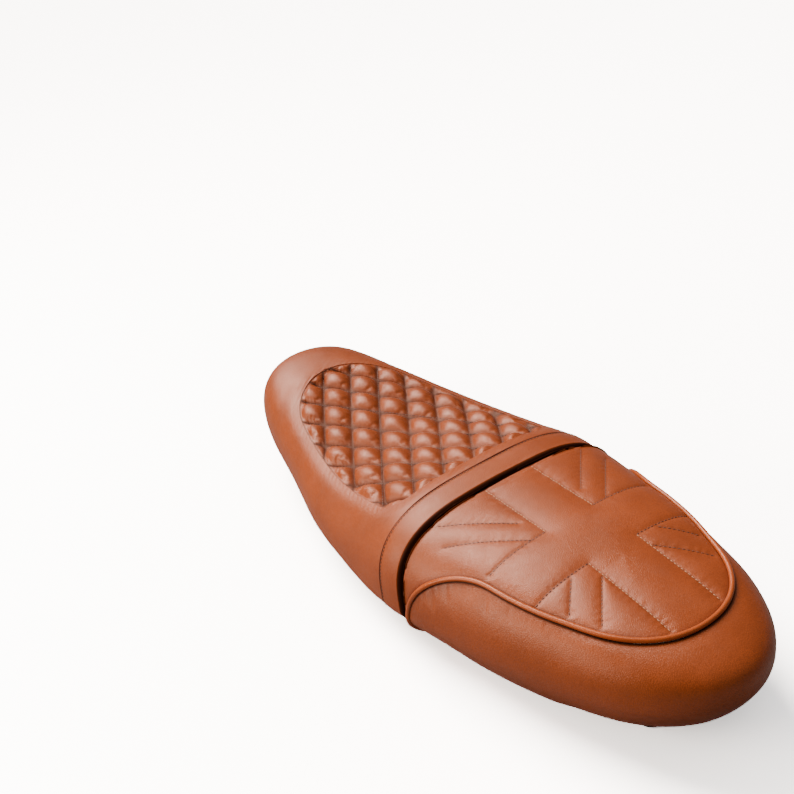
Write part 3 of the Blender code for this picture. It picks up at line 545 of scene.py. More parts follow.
# ---------------------------------------------------------------- materials
class Paint:
    """A Principled material and short calls to add nodes to it."""

    def __init__(self, name, roughness, metallic=0.0):
        self.material = bpy.data.materials.new(name)
        self.material.use_nodes = True
        self.tree = self.material.node_tree
        self.shader = self.tree.nodes["Principled BSDF"]
        self.shader.inputs["Roughness"].default_value = roughness
        self.shader.inputs["Metallic"].default_value = metallic
        self.place = self.tree.nodes.new("ShaderNodeTexCoord").outputs["Object"]

    def noise(self, scale, detail=3.0, roughness=0.55):
        node = self.tree.nodes.new("ShaderNodeTexNoise")
        node.inputs["Scale"].default_value = scale
        node.inputs["Detail"].default_value = detail
        node.inputs["Roughness"].default_value = roughness
        self.tree.links.new(self.place, node.inputs["Vector"])
        return node.outputs["Fac"]

    def cells(self, scale, feature="DISTANCE_TO_EDGE"):
        node = self.tree.nodes.new("ShaderNodeTexVoronoi")
        node.feature = feature
        node.inputs["Scale"].default_value = scale
        self.tree.links.new(self.place, node.inputs["Vector"])
        return node.outputs["Distance"]

    def spread(self, value, low, high, out_low=0.0, out_high=1.0):
        node = self.tree.nodes.new("ShaderNodeMapRange")
        for name, number in (("From Min", low), ("From Max", high), ("To Min", out_low),
                             ("To Max", out_high)):
            node.inputs[name].default_value = number
        self.tree.links.new(value, node.inputs["Value"])
        return node.outputs["Result"]

    def add(self, first, second, share=1.0):
        node = self.tree.nodes.new("ShaderNodeMath")
        node.operation = "MULTIPLY_ADD"
        self.tree.links.new(second, node.inputs[0])
        node.inputs[1].default_value = share
        self.tree.links.new(first, node.inputs[2])
        return node.outputs[0]

    def colours(self, value, stops):
        node = self.tree.nodes.new("ShaderNodeValToRGB")
        ramp = node.color_ramp
        while len(ramp.elements) < len(stops):
            ramp.elements.new(0.5)
        for element, (place, colour) in zip(ramp.elements, stops):
            element.position = place
            element.color = (*colour, 1.0)
        self.tree.links.new(value, node.inputs["Fac"])
        return node.outputs["Color"]

    def mix(self, factor, first, second):
        """first where factor is 0 and second where it is 1; each is a colour or an output."""
        node = self.tree.nodes.new("ShaderNodeMix")
        node.data_type = "RGBA"
        self.tree.links.new(factor, node.inputs[0])
        for socket, colour in ((node.inputs[6], first), (node.inputs[7], second)):
            if isinstance(colour, tuple):
                socket.default_value = (*colour, 1.0)
            else:
                self.tree.links.new(colour, socket)
        return node.outputs[2]

    def attribute(self, name):
        node = self.tree.nodes.new("ShaderNodeAttribute")
        node.attribute_name = name
        return node.outputs["Fac"]

    def clear_from_behind(self):
        """Leave the surface's back out, so that the underside can be looked at."""
        side = self.tree.nodes.new("ShaderNodeNewGeometry").outputs["Backfacing"]
        mix = self.tree.nodes.new("ShaderNodeMixShader")
        self.tree.links.new(side, mix.inputs[0])
        self.tree.links.new(self.shader.outputs[0], mix.inputs[1])
        clear = self.tree.nodes.new("ShaderNodeBsdfTransparent")
        self.tree.links.new(clear.outputs[0], mix.inputs[2])
        self.tree.links.new(mix.outputs[0], self.tree.nodes["Material Output"].inputs[0])

    def seen_directly(self):
        return self.tree.nodes.new("ShaderNodeLightPath").outputs["Is Camera Ray"]

    def link(self, value, socket):
        self.tree.links.new(value, self.shader.inputs[socket])

    def bump(self, height, distance, strength=1.0, bevel=None):
        node = self.tree.nodes.new("ShaderNodeBump")
        node.inputs["Strength"].default_value = strength
        node.inputs["Distance"].default_value = distance
        self.tree.links.new(height, node.inputs["Height"])
        if bevel:
            edge = self.tree.nodes.new("ShaderNodeBevel")
            edge.samples = 4
            edge.inputs["Radius"].default_value = bevel
            self.tree.links.new(edge.outputs["Normal"], node.inputs["Normal"])
        self.link(node.outputs["Normal"], "Normal")

    def set(self, **values):
        for name, value in values.items():
            self.shader.inputs[name.replace("_", " ")].default_value = value


def shade(colour, factor):
    return tuple(c * factor for c in colour)


WARM_GLOSS = (1.0, 0.64, 0.50, 1.0)


def leather(name, colour, grain=1.0, roughness=0.38, gloss=0.60):
    """Satin finished cowhide: mottled colour, fine grain and pores, and painted shade in the seams,
    quilt valleys and the gap.
    """
    paint = Paint(name, roughness)
    mottle = paint.add(paint.noise(26, 4.0), paint.noise(140, 3.0), 0.35)
    dyed_and_shaded = paint.colours(mottle, ((0.42, shade(colour, 0.80)), (0.66, colour),
                                 (0.92, shade(colour, 1.16))))
    grain_cells = paint.cells(780)
    pores = paint.spread(grain_cells, 0.0, 0.16)
    dyed_and_shaded = paint.mix(pores, shade(colour, 0.72), dyed_and_shaded)
    # Painted shade: the colour darkens to near black where the seam attribute is high, in seams, quilt
    # valleys and the gap.
    dyed_and_shaded = paint.mix(paint.attribute("seam"), dyed_and_shaded, shade(colour, 0.10))
    paint.link(dyed_and_shaded, "Base Color")
    matt = paint.spread(paint.noise(60, 3.0), 0.3, 0.7, roughness - 0.05, roughness + 0.07)
    paint.link(paint.add(matt, paint.attribute("seam"), 0.45), "Roughness")
    height = paint.add(paint.spread(grain_cells, 0.0, 0.30), paint.noise(420, 2.0), 0.8)
    height = paint.add(height, paint.noise(120, 2.0), 0.9)
    paint.bump(height, 0.00016 * grain, 0.55)
    paint.set(Specular_IOR_Level=gloss, Specular_Tint=WARM_GLOSS, Coat_Weight=0.03, Coat_Roughness=0.30)
    return paint.material


def thread(name, colour):
    """Twisted polyester thread."""
    paint = Paint(name, 0.55)
    tone = paint.colours(paint.noise(2600, 2.0), ((0.35, shade(colour, 0.7)), (0.65, colour)))
    paint.link(tone, "Base Color")
    paint.bump(paint.noise(3800, 1.0), 0.0001, 0.5)
    paint.set(Sheen_Weight=0.2)
    return paint.material


def foam(name, colour, pore_scale):
    paint = Paint(name, 0.92)
    pores = paint.cells(pore_scale, "F1")
    tone = paint.mix(paint.spread(pores, 0.1, 0.6), shade(colour, 0.62), colour)
    paint.link(paint.mix(paint.noise(18, 3.0), tone, shade(colour, 0.88)), "Base Color")
    paint.bump(paint.add(pores, paint.noise(300, 3.0), 0.6), 0.0006, 0.8)
    return paint.material


def moulded_plastic(name):
    """Glass-filled polypropylene with a spark-eroded texture and lighter, dusty patches at random."""
    paint = Paint(name, 0.5)
    tone = paint.colours(paint.add(paint.noise(30, 4.0), paint.noise(300, 2.0), 0.3),
                         ((0.45, (0.013, 0.013, 0.014)), (0.85, (0.034, 0.033, 0.032))))
    paint.link(tone, "Base Color")
    paint.link(paint.spread(paint.noise(45, 3.0), 0.3, 0.7, 0.44, 0.60), "Roughness")
    paint.bump(paint.add(paint.noise(1500, 2.0), paint.noise(260, 2.0), 0.5), 0.00014, 0.6, 0.0009)
    return paint.material


def rubber(name):
    paint = Paint(name, 0.72)
    tone = paint.colours(paint.noise(90, 4.0), ((0.35, (0.016, 0.016, 0.016)),
                                                (0.75, (0.045, 0.043, 0.041))))
    paint.link(tone, "Base Color")
    paint.bump(paint.add(paint.noise(900, 2.0), paint.noise(160, 2.0), 0.7), 0.00018, 0.6, 0.0008)
    return paint.material


def coated_steel(name):
    """Black electro-coated sheet steel, rubbed through a little."""
    paint = Paint(name, 0.38)
    worn = paint.spread(paint.add(paint.noise(75, 5.0, 0.7), paint.noise(600, 2.0), 0.2),
                        0.74, 0.86)
    paint.link(paint.mix(worn, (0.016, 0.016, 0.018), (0.20, 0.19, 0.18)), "Base Color")
    paint.link(paint.spread(worn, 0, 1, 0.0, 0.8), "Metallic")
    paint.link(paint.spread(paint.noise(120, 3.0), 0.3, 0.7, 0.30, 0.46), "Roughness")
    paint.bump(paint.noise(900, 2.0), 0.00008, 0.5, 0.0006)
    return paint.material


def zinc(name):
    """Zinc-plated steel with a faint yellow-blue passivation."""
    paint = Paint(name, 0.3, 1.0)
    tone = paint.colours(paint.noise(130, 4.0), ((0.3, (0.55, 0.56, 0.60)), (0.55, (0.70, 0.68, 0.60)),
                                                 (0.8, (0.62, 0.63, 0.66))))
    paint.link(tone, "Base Color")
    paint.link(paint.spread(paint.noise(420, 3.0), 0.3, 0.7, 0.24, 0.42), "Roughness")
    paint.bump(paint.noise(1400, 2.0), 0.00006, 0.4, 0.0005)
    return paint.material


COGNAC = (0.265, 0.045, 0.0040)
SMOOTH = leather("cognac_leather", COGNAC)
QUILTED = leather("cognac_quilted_leather", COGNAC, roughness=0.35)
STITCHED = leather("cognac_stitched_leather", COGNAC)
# A darker, low-gloss copy of the cognac leather: painted shade for the gap's edges and walls.
GAP_SHADE_LEATHER = leather("cognac_painted_gap_shade", shade(COGNAC, 0.75), roughness=0.8, gloss=0.08)
# A lighter copy of the cognac leather for the piping: a painted highlight on the raised cord.
PIPING_PAINTED_LIGHT = leather("cognac_piping_leather", shade(COGNAC, 1.35), 0.7, 0.32)
DARK_THREAD = thread("brown_thread", (0.115, 0.032, 0.012))
PALE_THREAD = thread("tan_thread", (0.56, 0.25, 0.12))
MOULDED_FOAM = foam("moulded_pu_foam", (0.66, 0.60, 0.44), 700)
QUILT_FOAM = foam("quilting_foam", (0.42, 0.42, 0.43), 1300)
PLASTIC = moulded_plastic("black_polypropylene")
RUBBER = rubber("black_rubber")
STEEL = coated_steel("black_coated_steel")
ZINC = zinc("zinc_plated_steel")
STAPLE_STEEL = zinc("staple_wire")

SLOT_MATERIALS = {"pan_plastic": PLASTIC, "buffer_rubber": RUBBER, "black_steel": STEEL,
                  "zinc_steel": ZINC}


def paint_gap_shade(item, shadow):
    """Give the faces that turn into the gap the darker, less glossy leather: painted shade in the gap.
    """
    item.data.materials.append(GAP_SHADE_LEATHER)
    shadow = np.tile(shadow, 2)
    for face in item.data.polygons:
        if shadow[list(face.vertices)].mean() > 0.5:
            face.material_index = 1


def paint_seam_shade(item, values):
    """Store how much painted shade each point gets in the leather's colour: most in seams, valleys and
    the gap.
    """
    # The seam attribute holds painted shade for the leather's colour.
    attribute = item.data.attributes.new("seam", "FLOAT", "POINT")
    attribute.data.foreach_set("value", np.clip(values, 0, 1).astype(np.float32))


# ---------------------------------------------------------------- stitches
def stitch_template():
    """One stitch along X: a bowed thread whose ends dive into the leather."""
    rings, sides = 7, 6
    points = []
    for k in range(rings):
        t = -1 + 2 * k / (rings - 1)
        lift = THREAD_RADIUS * (0.9 - 2.6 * t**4)
        radius = THREAD_RADIUS * (1 - 0.45 * t**6)
        for n in range(sides):
            turn = 2 * math.pi * n / sides
            points.append((t / 2, radius * math.cos(turn), lift + radius * math.sin(turn)))
    faces = [tuple(range(sides))]
    for k in range(rings - 1):
        for n in range(sides):
            a, b = k * sides + n, k * sides + (n + 1) % sides
            faces.append((a, a + sides, b + sides, b))
    faces.append(tuple(range(rings * sides - 1, (rings - 1) * sides - 1, -1)))
    return np.array(points), faces


STITCH_POINTS, STITCH_FACES = stitch_template()


class Sewing:
    """Stitches laid on finished pieces, joined into one thread object."""

    def __init__(self, *items):
        points, faces = [], []
        for item in items:
            start = len(points)
            points += [v.co.copy() for v in item.data.vertices]
            faces += [[start + n for n in p.vertices] for p in item.data.polygons]
        self.tree = BVHTree.FromPolygons(points, faces)
        self.points = []
        self.faces = []

    def lay(self, origins, directions, lift=0.0):
        """A row of stitches where rays from origins along directions meet the pieces."""
        hits = []
        for origin, direction in zip(origins, directions):
            spot, normal, _, _ = self.tree.ray_cast(Vector(origin), Vector(direction), 0.06)
            if spot is not None:
                hits.append((*spot, *(-normal if normal.dot(Vector(direction)) > 0 else normal)))
        if len(hits) < 3:
            return
        hits = np.array(hits)
        steps = np.linalg.norm(np.diff(hits[:, :3], axis=0), axis=1)
        run = np.concatenate([[0], np.cumsum(steps)])
        count = max(1, int(run[-1] / STITCH_PITCH))
        for k in range(count):
            middle = (k + 0.5) * run[-1] / count
            ends = [middle - STITCH_LENGTH / 2, middle, middle + STITCH_LENGTH / 2]
            row = np.stack([np.interp(ends, run, hits[:, n]) for n in range(6)], axis=1)
            along = row[2, :3] - row[0, :3]
            length = np.linalg.norm(along)
            if length < 0.3 * STITCH_LENGTH or length > 1.5 * STITCH_LENGTH:
                continue
            along = along / length
            normal = row[1, 3:] - along * (row[1, 3:] @ along)
            normal = normal / np.linalg.norm(normal)
            across = np.cross(normal, along)
            base = row[1, :3] + normal * lift
            t = STITCH_POINTS
            placed = base + np.outer(t[:, 0] * length, along) + np.outer(t[:, 1], across)
            start = len(self.points) * len(t)
            self.points.append(placed + np.outer(t[:, 2], normal))
            self.faces += [[start + n for n in face] for face in STITCH_FACES]

    def from_above(self, start, end, **options):
        """A straight line in plan, seen from above."""
        length = math.dist(start, end)
        t = np.linspace(0, 1, max(8, int(length / 0.001)))[:, None]
        flat = np.array(start) + t * (np.array(end) - np.array(start))
        origins = np.concatenate([flat, np.full((len(flat), 1), ABOVE_SEAT)], axis=1)
        self.lay(origins, [(0, 0, -1)] * len(flat), **options)

    def along_cover(self, stations, v, **options):
        """A line of the cover given by stations and v, met from outside."""
        base = surface(stations, v)
        step = 0.0005
        along = surface(stations + step, v) - surface(stations - step, v)
        across = surface(stations, v + 0.01) - surface(stations, v - 0.01)
        normal = np.cross(along, across)
        normal /= np.linalg.norm(normal, axis=1, keepdims=True)
        self.lay(base + normal * 0.012, -normal, **options)

    def finish(self, name, material, body):
        return make_object(name, np.concatenate(self.points), self.faces, material, body)


# ---------------------------------------------------------------- rider seat
def rider_cover():
    edges = (GAP_X + HALF_GAP, BAND_FRONT_X, QUILT_REAR_X, QUILT_FRONT_X, NOSE_X)
    seams = (GAP_X + HALF_GAP, BAND_FRONT_X, QUILT_REAR_X)
    stations = joined_spread(edges, 0.0017, seams, 0.0005, (half_width, quilt_half_width_plan))
    return make_cover(stations, 1, quilt_v, 70, 62)


def quilt_half_width_plan(x):
    """The quilt's half-width, 0 beyond its ends, for spacing the stations."""
    inside = (x >= QUILT_REAR_X) & (x <= QUILT_FRONT_X)
    return np.where(inside, quilt_half_width(np.minimum(x, QUILT_FRONT_X)), 0.0)


def rider_lines(cover):
    split = cover["split"]
    left = row_line(cover, split, QUILT_REAR_X, QUILT_FRONT_X)
    right = row_line(cover, -split, QUILT_REAR_X, QUILT_FRONT_X)
    return {"gap": [station_line(cover, GAP_X + HALF_GAP)],
            "band": [station_line(cover, BAND_FRONT_X)],
            "quilt": [left, right, station_line(cover, QUILT_REAR_X, split)]}


def held_at(points, normals, *distances):
    """Where the sheet is held while it settles: beside these seams, and from the hem inwards."""
    held = np.clip((0.004 - (points[:, 2] - hem_z(points[:, 0]))) / 0.002, 0, 1)
    held = np.maximum(held, np.clip(-normals[:, 2] * 4 - 1, 0, 1))
    for distance in distances:
        held = np.maximum(held, groove(np.maximum(distance, 0), 0.0020))
    return held


def hem_pleats(points, normals):
    """Gathers of the turned-in hem, on its underside only."""
    down = np.clip(-normals[:, 2] - 0.8, 0, 0.2) * 5
    turn = np.arctan2(points[:, 1], points[:, 0] - np.where(points[:, 0] > 0, 0.2, -0.18))
    return 0.00028 * down * np.sin(turn * 46)


def make_rider_leather(cover):
    lines = rider_lines(cover)

    def side_relief(points, normals):
        seam = distance_to(lines["quilt"], points)
        band = distance_to(lines["band"], points)
        # Painted shade: darkens the colour along the quilt's seam and the band's seam.
        side_relief.seam = np.maximum(groove(seam, 0.0006) * 0.15, groove(band, 0.0007) * 0.8)
        swell = 0.0007 * np.exp(-((seam - 0.010) / 0.008)**2)
        pucker = 0.00018 * np.sin(points[:, 0] * 900 + points[:, 1] * 640)
        pucker = pucker * np.exp(-seam / 0.006) * (seam > 0.001)
        return (0.0004 * waves(points, 0.11, 3) - roll(seam, 0.0004) - roll(band, 0.0005)
                + swell + pucker + hem_pleats(points, normals))

    def quilt_relief(points, normals):
        seam = distance_to(lines["quilt"], points)
        height = pillow_height(points)
        quilt_relief.held = np.maximum(groove(seam, 0.0016), np.clip(1.6 * groove(height, 0.13), 0, 1))
        rim = np.sqrt(1 - np.clip(1 - seam / 0.006, 0, 1)**2)
        # Painted shade: darkens the colour in the valleys between the pillows and along the quilt's
        # seam.
        quilt_relief.seam = np.maximum(0.15 * groove(seam, 0.0006), 0.85 * groove(height, 0.28))
        level = PILLOW_TOP - PILLOW_HEIGHT + PILLOW_HEIGHT * height * rim
        level = level + 0.00035 * waves(points, 0.045, 9)
        edge = np.clip(seam / 0.0075, 0, 1)
        edge = edge * edge * (3 - 2 * edge)
        return level * edge + (1 - edge) * (-0.0006)

    def band_relief(points, normals):
        gap = distance_to(lines["gap"], points)
        band = distance_to(lines["band"], points)
        # Painted shade: darker leather and colour on the edge that rolls into the gap, and along the
        # band's seam.
        band_relief.turned = edge_shadow(gap, 0.0040)
        band_relief.seam = np.maximum(band_relief.turned, groove(band, 0.0007) * 0.5)
        swell = 0.0006 * np.sin(np.pi * np.clip(band / 0.022, 0, 1))
        return (swell + 0.0003 * waves(points, 0.08, 5) - roll(gap, GAP_ROLL)
                - 0.0002 * groove(band, 0.0016))

    split, hem = cover["split"], cover["hem"]
    side = make_panel("rider_side_leather", cover,
                      lambda s, c: (s > BAND_FRONT_X) & ((s < QUILT_REAR_X) | (s > QUILT_FRONT_X)
                                                         | (c > split)),
                      side_relief, SMOOTH, "rider_seat", ["rider_side_cover"])
    paint_seam_shade(side, np.tile(side_relief.seam, 2))
    quilt = make_panel("rider_quilted_leather", cover,
                       lambda s, c: (s > QUILT_REAR_X) & (s < QUILT_FRONT_X) & (c < split),
                       quilt_relief, QUILTED, "rider_seat",
                       ["rider_quilt_panel"], puff=QUILT_PUFF)
    paint_seam_shade(quilt, np.tile(quilt_relief.seam, 2))
    band = make_panel("rider_band_leather", cover,
                      lambda s, c: (s < BAND_FRONT_X) & (c < hem),
                      band_relief, SMOOTH, "rider_seat", ["rider_rear_band"])
    paint_seam_shade(band, np.tile(band_relief.seam, 2))
    paint_gap_shade(band, band_relief.turned)
    return side, quilt, band


# ---------------------------------------------------------------- pillion pad
def pillion_cover():
    edges = (TAIL_X, FAN_TAIL_X, PIPING_FOOT_X, GAP_X - HALF_GAP)
    stations = joined_spread(edges, 0.0017, (GAP_X - HALF_GAP,), 0.0005,
                             (half_width, piping_height))
    return make_cover(stations, -1, piping_v, 76, 52)


def pillion_lines():
    """The stitched lines in plan: (start, end, pale thread or not)."""
    lines = []
    for side in SIDES:
        y = side * LONG_LINE_Y
        lines.append(((GAP_X - HALF_GAP - 0.003, y), (CROSS_LINE_X[0], y), True))
        lines.append(((CROSS_LINE_X[1], y), (-0.2760, y), True))
        for x in CROSS_LINE_X:
            lines.append(((x, y), (x, side * CROSS_LINE_END), False))
        for (x0, y0), (x1, y1) in FRONT_DIAGONALS + REAR_DIAGONALS:
            lines.append(((x0, side * y0), (x1, side * y1), False))
    return lines


def make_pillion_leather(cover):
    split, hem = cover["split"], cover["hem"]
    piping = [row_line(cover, side * split, TAIL_X, PIPING_FOOT_X) for side in SIDES]
    gap = [station_line(cover, GAP_X - HALF_GAP)]

    def top_relief(points, normals):
        seam = distance_to(piping, points)
        front = distance_to(gap, points)
        nearest = np.full(len(points), 1.0)
        pucker = np.zeros(len(points))
        for start, end, _ in pillion_lines():
            away, run = line_distance(points, start, end)
            away = np.where(normals[:, 2] > 0.2, away, 1.0)
            nearest = np.minimum(nearest, away)
            wave = np.sin(run * 2 * np.pi / 0.0078 + 1.3 * np.sin(run * 160))
            pucker += 0.00012 * wave * np.exp(-away / 0.0045) * (away > 0.0006)
        top_relief.held = np.maximum(held_at(points, normals, seam, front - 0.004),
                                     groove(nearest, 0.0012))
        # Painted shade: darker leather and colour at the gap's edge, a dark line beside the piping and
        # along the stitched lines.
        top_relief.turned = edge_shadow(front, 0.0024)
        top_relief.seam = np.maximum.reduce([0.9 * groove(seam, 0.0028), top_relief.turned,
                                             0.36 * groove(nearest, 0.0008)])
        puff = 0.0007 * (1 - np.exp(-nearest / 0.009))
        return (puff - 0.0006 * groove(nearest, 0.0013) + pucker + 0.0004 * waves(points, 0.09, 4)
                - roll(seam, 0.0030) - roll(front, GAP_ROLL))

    def side_relief(points, normals):
        seam = distance_to(piping, points)
        # Painted shadow: a dark line in the colour just under the piping.
        side_relief.seam = 0.95 * edge_shadow(seam, 0.0032)
        side_relief.held = held_at(points, normals, seam)
        height = points[:, 2] - hem_z(points[:, 0])
        bulge = 0.0016 * np.clip(np.sin(np.pi * np.clip(height / 0.075, 0, 1)), 0, 1)
        return (bulge * np.clip((normals[:, 2] + 0.7) / 0.5, 0, 1) + 0.0006 * waves(points, 0.10, 6)
                - roll(seam, 0.0050) + hem_pleats(points, normals))

    top = make_panel("pillion_top_leather", cover,
                     lambda s, c: (c < split) | ((s > PIPING_FOOT_X) & (c < hem)),
                     top_relief, STITCHED, "pillion_pad",
                     ["pillion_top_panel"], puff=TOP_PUFF)
    paint_seam_shade(top, np.tile(top_relief.seam, 2))
    paint_gap_shade(top, top_relief.turned)
    side = make_panel("pillion_side_leather", cover,
                      lambda s, c: (s < PIPING_FOOT_X) & (c > split)
                      & ((c < hem) | (s < PILLION_LIP_X)),
                      side_relief, SMOOTH, "pillion_pad",
                      ["pillion_side_panel"], puff=SIDE_PUFF)
    paint_seam_shade(side, np.tile(side_relief.seam, 2))
    return top, side


def tube_along(path, radius, sides=12):
    """Points and faces of a round cord along the path, with domed ends."""
    path = np.asarray(path)
    along = np.gradient(path, axis=0)
    along /= np.linalg.norm(along, axis=1, keepdims=True)
    up = np.zeros_like(path)
    side = np.cross(along[0], (0, 0, 1.0))
    for k, direction in enumerate(along):
        side = side - direction * (side @ direction)
        side /= np.linalg.norm(side)
        up[k] = side
    other = np.cross(along, up)
    points = []
    for k in range(len(path)):
        taper = radius * min(1.0, math.sqrt((min(k, len(path) - 1 - k) + 0.3) / 2.5))
        for n in range(sides):
            turn = 2 * math.pi * n / sides
            points.append(path[k] + taper * (math.cos(turn) * up[k] + math.sin(turn) * other[k]))
    faces = [tuple(range(sides))]
    for k in range(len(path) - 1):
        for n in range(sides):
            a, b = k * sides + n, k * sides + (n + 1) % sides
            faces.append((a, a + sides, b + sides, b))
    faces.append(tuple(range(len(path) * sides - 1, (len(path) - 1) * sides - 1, -1)))
    return np.array(points), faces


def make_piping(cover):
    """The leather-wrapped cord in the seam between the pillion's top and side panels."""
    middle = cover["last"]
    keep = cover["stations"] <= PIPING_FOOT_X + 1e-9
    rows = cover["number"][keep]
    left = rows[::-1, middle + cover["split"]]
    right = rows[:, middle - cover["split"]]
    order = np.concatenate([left, right[1:]])
    base = cover["points"][order] + cover["normals"][order] * (PIPING_RADIUS * 0.62)
    path = dense(base, 0.0016)
    for _ in range(8):
        path[1:-1] = 0.5 * path[1:-1] + 0.25 * (path[:-2] + path[2:])
    points, faces = tube_along(path, PIPING_RADIUS)
    item = make_object("pillion_piping_cord", points, faces, PIPING_PAINTED_LIGHT, "pillion_pad",
                       ["pillion_piping"])
    paint_seam_shade(item, np.zeros(len(points)))
    return item


# ---------------------------------------------------------------- gap walls
def make_wall(name, station, forward, body, node):
    """The leather wall at a module's gap end, sewn inside the rolled edge, hem turned under."""
    v = np.linspace(0.0, 2.0, 400)
    outline = surface(station, v)
    run = np.gradient(outline, axis=0)
    run /= np.maximum(np.linalg.norm(run, axis=1, keepdims=True), 1e-12)
    depth = GAP_ROLL * 0.78
    ys = outline[:, 1] + run[:, 2] * depth
    zs = outline[:, 2] - run[:, 1] * depth
    keep = ys > 0
    low = hem_z(np.array(station))
    levels = np.concatenate([[low], np.linspace(low + 0.0025, zs[keep].max() - 0.00005, 46)])
    heights = np.minimum.accumulate(zs[keep])
    widths = np.interp(levels, heights[::-1], ys[keep][::-1])
    across = np.linspace(0, 1, WALL_COLUMNS + 1) * 2 - 1
    grid_y = widths[:, None] * across
    grid_z = np.repeat(levels[:, None], len(across), axis=1)
    shape = grid_y.shape
    flat = np.stack([np.full(shape, station), grid_y, grid_z], axis=-1).reshape(-1, 3)
    away = np.minimum(widths[:, None] - np.abs(grid_y), grid_z.max() - grid_z).reshape(-1)
    puff = -forward * (0.0002 * waves(flat, 0.06, 8) - 0.0012 * np.exp(-away / 0.003))
    flat[:, 0] += -puff + forward * 0.0006
    lip = []
    for inset in LIP_STEPS:
        row = flat.reshape(*shape, 3)[0].copy()
        row[:, 0] = station + forward * (0.0006 + inset)
        row[:, 2] = hem_z(np.array(station + forward * inset))
        lip.append(row)
    grid = np.concatenate([np.array(lip)[::-1], flat.reshape(*shape, 3)])
    rows, columns = grid.shape[:2]
    number = np.arange(rows * columns).reshape(rows, columns)
    quads = np.stack([number[:-1, :-1], number[:-1, 1:], number[1:, 1:], number[1:, :-1]],
                     axis=-1).reshape(-1, 4)
    if forward > 0:
        quads = quads[:, ::-1]
    points, faces = thick_sheet(grid.reshape(-1, 3), clean_faces(quads), LEATHER)
    item = make_object(name, points, faces, GAP_SHADE_LEATHER, body, [node])
    # Painted shade: the wall's colour is darkened everywhere, fully on its hem lip and most towards its
    # edges.
    lip_rows = np.ones(len(LIP_STEPS) * columns)
    edge = np.concatenate([lip_rows, groove(away, 0.012)])
    paint_seam_shade(item, np.tile(0.10 + 0.90 * edge, 2))
    return item


# ---------------------------------------------------------------- padding
def make_foam(name, node, body, material):
    """The moulded foam: rounded by a remesh, slightly under the size of the space it fills."""
    source = frame["nodes"][node]
    mesh = source.data.copy()
    mesh.name = name
    item = bpy.data.objects.new(name, mesh)
    bpy.context.scene.collection.objects.link(item)
    remesh = item.modifiers.new("remesh", "REMESH")
    remesh.mode = "VOXEL"
    remesh.voxel_size = FOAM_VOXEL
    smooth = item.modifiers.new("smooth", "SMOOTH")
    smooth.factor = 0.5
    smooth.iterations = 4
    bpy.context.view_layer.update()
    graph = bpy.context.evaluated_depsgraph_get()
    result = bpy.data.meshes.new_from_object(item.evaluated_get(graph))
    item.modifiers.clear()
    item.data = result
    result.materials.clear()
    result.materials.append(material)
    result.shade_smooth()
    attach(item, body)
    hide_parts(node)
    return item


def make_wadding(cover):
    """The sewn-in foam under the quilted leather, following its pillows."""
    lines = rider_lines(cover)["quilt"]

    def relief(points, normals):
        seam = distance_to(lines, points)
        height = pillow_height(points)
        level = PILLOW_TOP - PILLOW_HEIGHT + PILLOW_HEIGHT * height
        edge = np.clip(seam / 0.005, 0, 1)
        return level * edge - (1 - edge) * 0.0042 - LEATHER - 0.0010

    split = cover["split"]
    item = make_panel("rider_quilt_wadding", cover,
                      lambda s, c: (s > QUILT_REAR_X + 0.003) & (s < QUILT_FRONT_X - 0.003)
                      & (c < split - 3),
                      relief, QUILT_FOAM, "rider_seat", ["rider_quilt_backing"],
                      thickness=0.0012)
    return item


# ---------------------------------------------------------------- staples under the hem
def make_staples(name, cover, body, low, high):
    """Wire staples that hold the turned-in hem to the pan's flange."""
    keep = (cover["stations"] >= low) & (cover["stations"] <= high)
    stations = cover["stations"][keep]
    line = hem_point(cover, stations, STAPLE_INSET)
    points, faces = [], []
    for sign in SIDES:
        path = dense(line * np.array((1, sign, 1)), 0.0005)
        for k in range(8, len(path) - 8, STAPLE_STEPS):
            along = path[k + 5] - path[k - 5]
            along /= np.linalg.norm(along)
            across = np.cross((0, 0, 1.0), along)
            along = along * 0.93 + across * 0.36
            along /= np.linalg.norm(along)
            down = np.array((0, 0, -1.0))
            centre = path[k] + down * 0.0003
            shape = ((-0.0048, -0.0016), (-0.0047, -0.0003), (-0.0041, 0.0), (0, 0.0001),
                     (0.0041, 0.0), (0.0047, -0.0003), (0.0048, -0.0016))
            wire = [centre + along * a + down * b for a, b in shape]
            start = len(points)
            tube, tube_faces = tube_along(wire, 0.00042, 8)
            points += list(tube)
            faces += [[start + n for n in face] for face in tube_faces]
    return make_object(name, points, faces, STAPLE_STEEL, body)


# ---------------------------------------------------------------- threads
def sew_rider(side, quilt, band):
    sewing = Sewing(quilt)
    for family in SIDES:
        slope = family * DIAMOND_WIDE / DIAMOND_LONG
        for k in range(-4, 11):
            start_x = QUILT_REAR_X + k * DIAMOND_LONG
            x = np.arange(QUILT_REAR_X + 0.003, QUILT_FRONT_X - 0.003, 0.001)
            y = slope * (x - start_x)
            keep = np.abs(y) < quilt_half_width(x) - 0.0025
            if keep.sum() > 6:
                flat = np.stack([x[keep], y[keep], np.full(keep.sum(), ABOVE_SEAT)], axis=1)
                sewing.lay(flat, [(0, 0, -1)] * len(flat), lift=-0.0001)
    sewing.finish("rider_quilt_thread", DARK_THREAD, "rider_seat")

    sewing = Sewing(band, side)
    v = np.concatenate([-np.linspace(1.96, 0.02, 500), np.linspace(0.02, 1.96, 500)])
    sewing.along_cover(np.full_like(v, BAND_FRONT_X - 0.0018), v)
    sewing.finish("rider_band_thread", DARK_THREAD, "rider_seat")


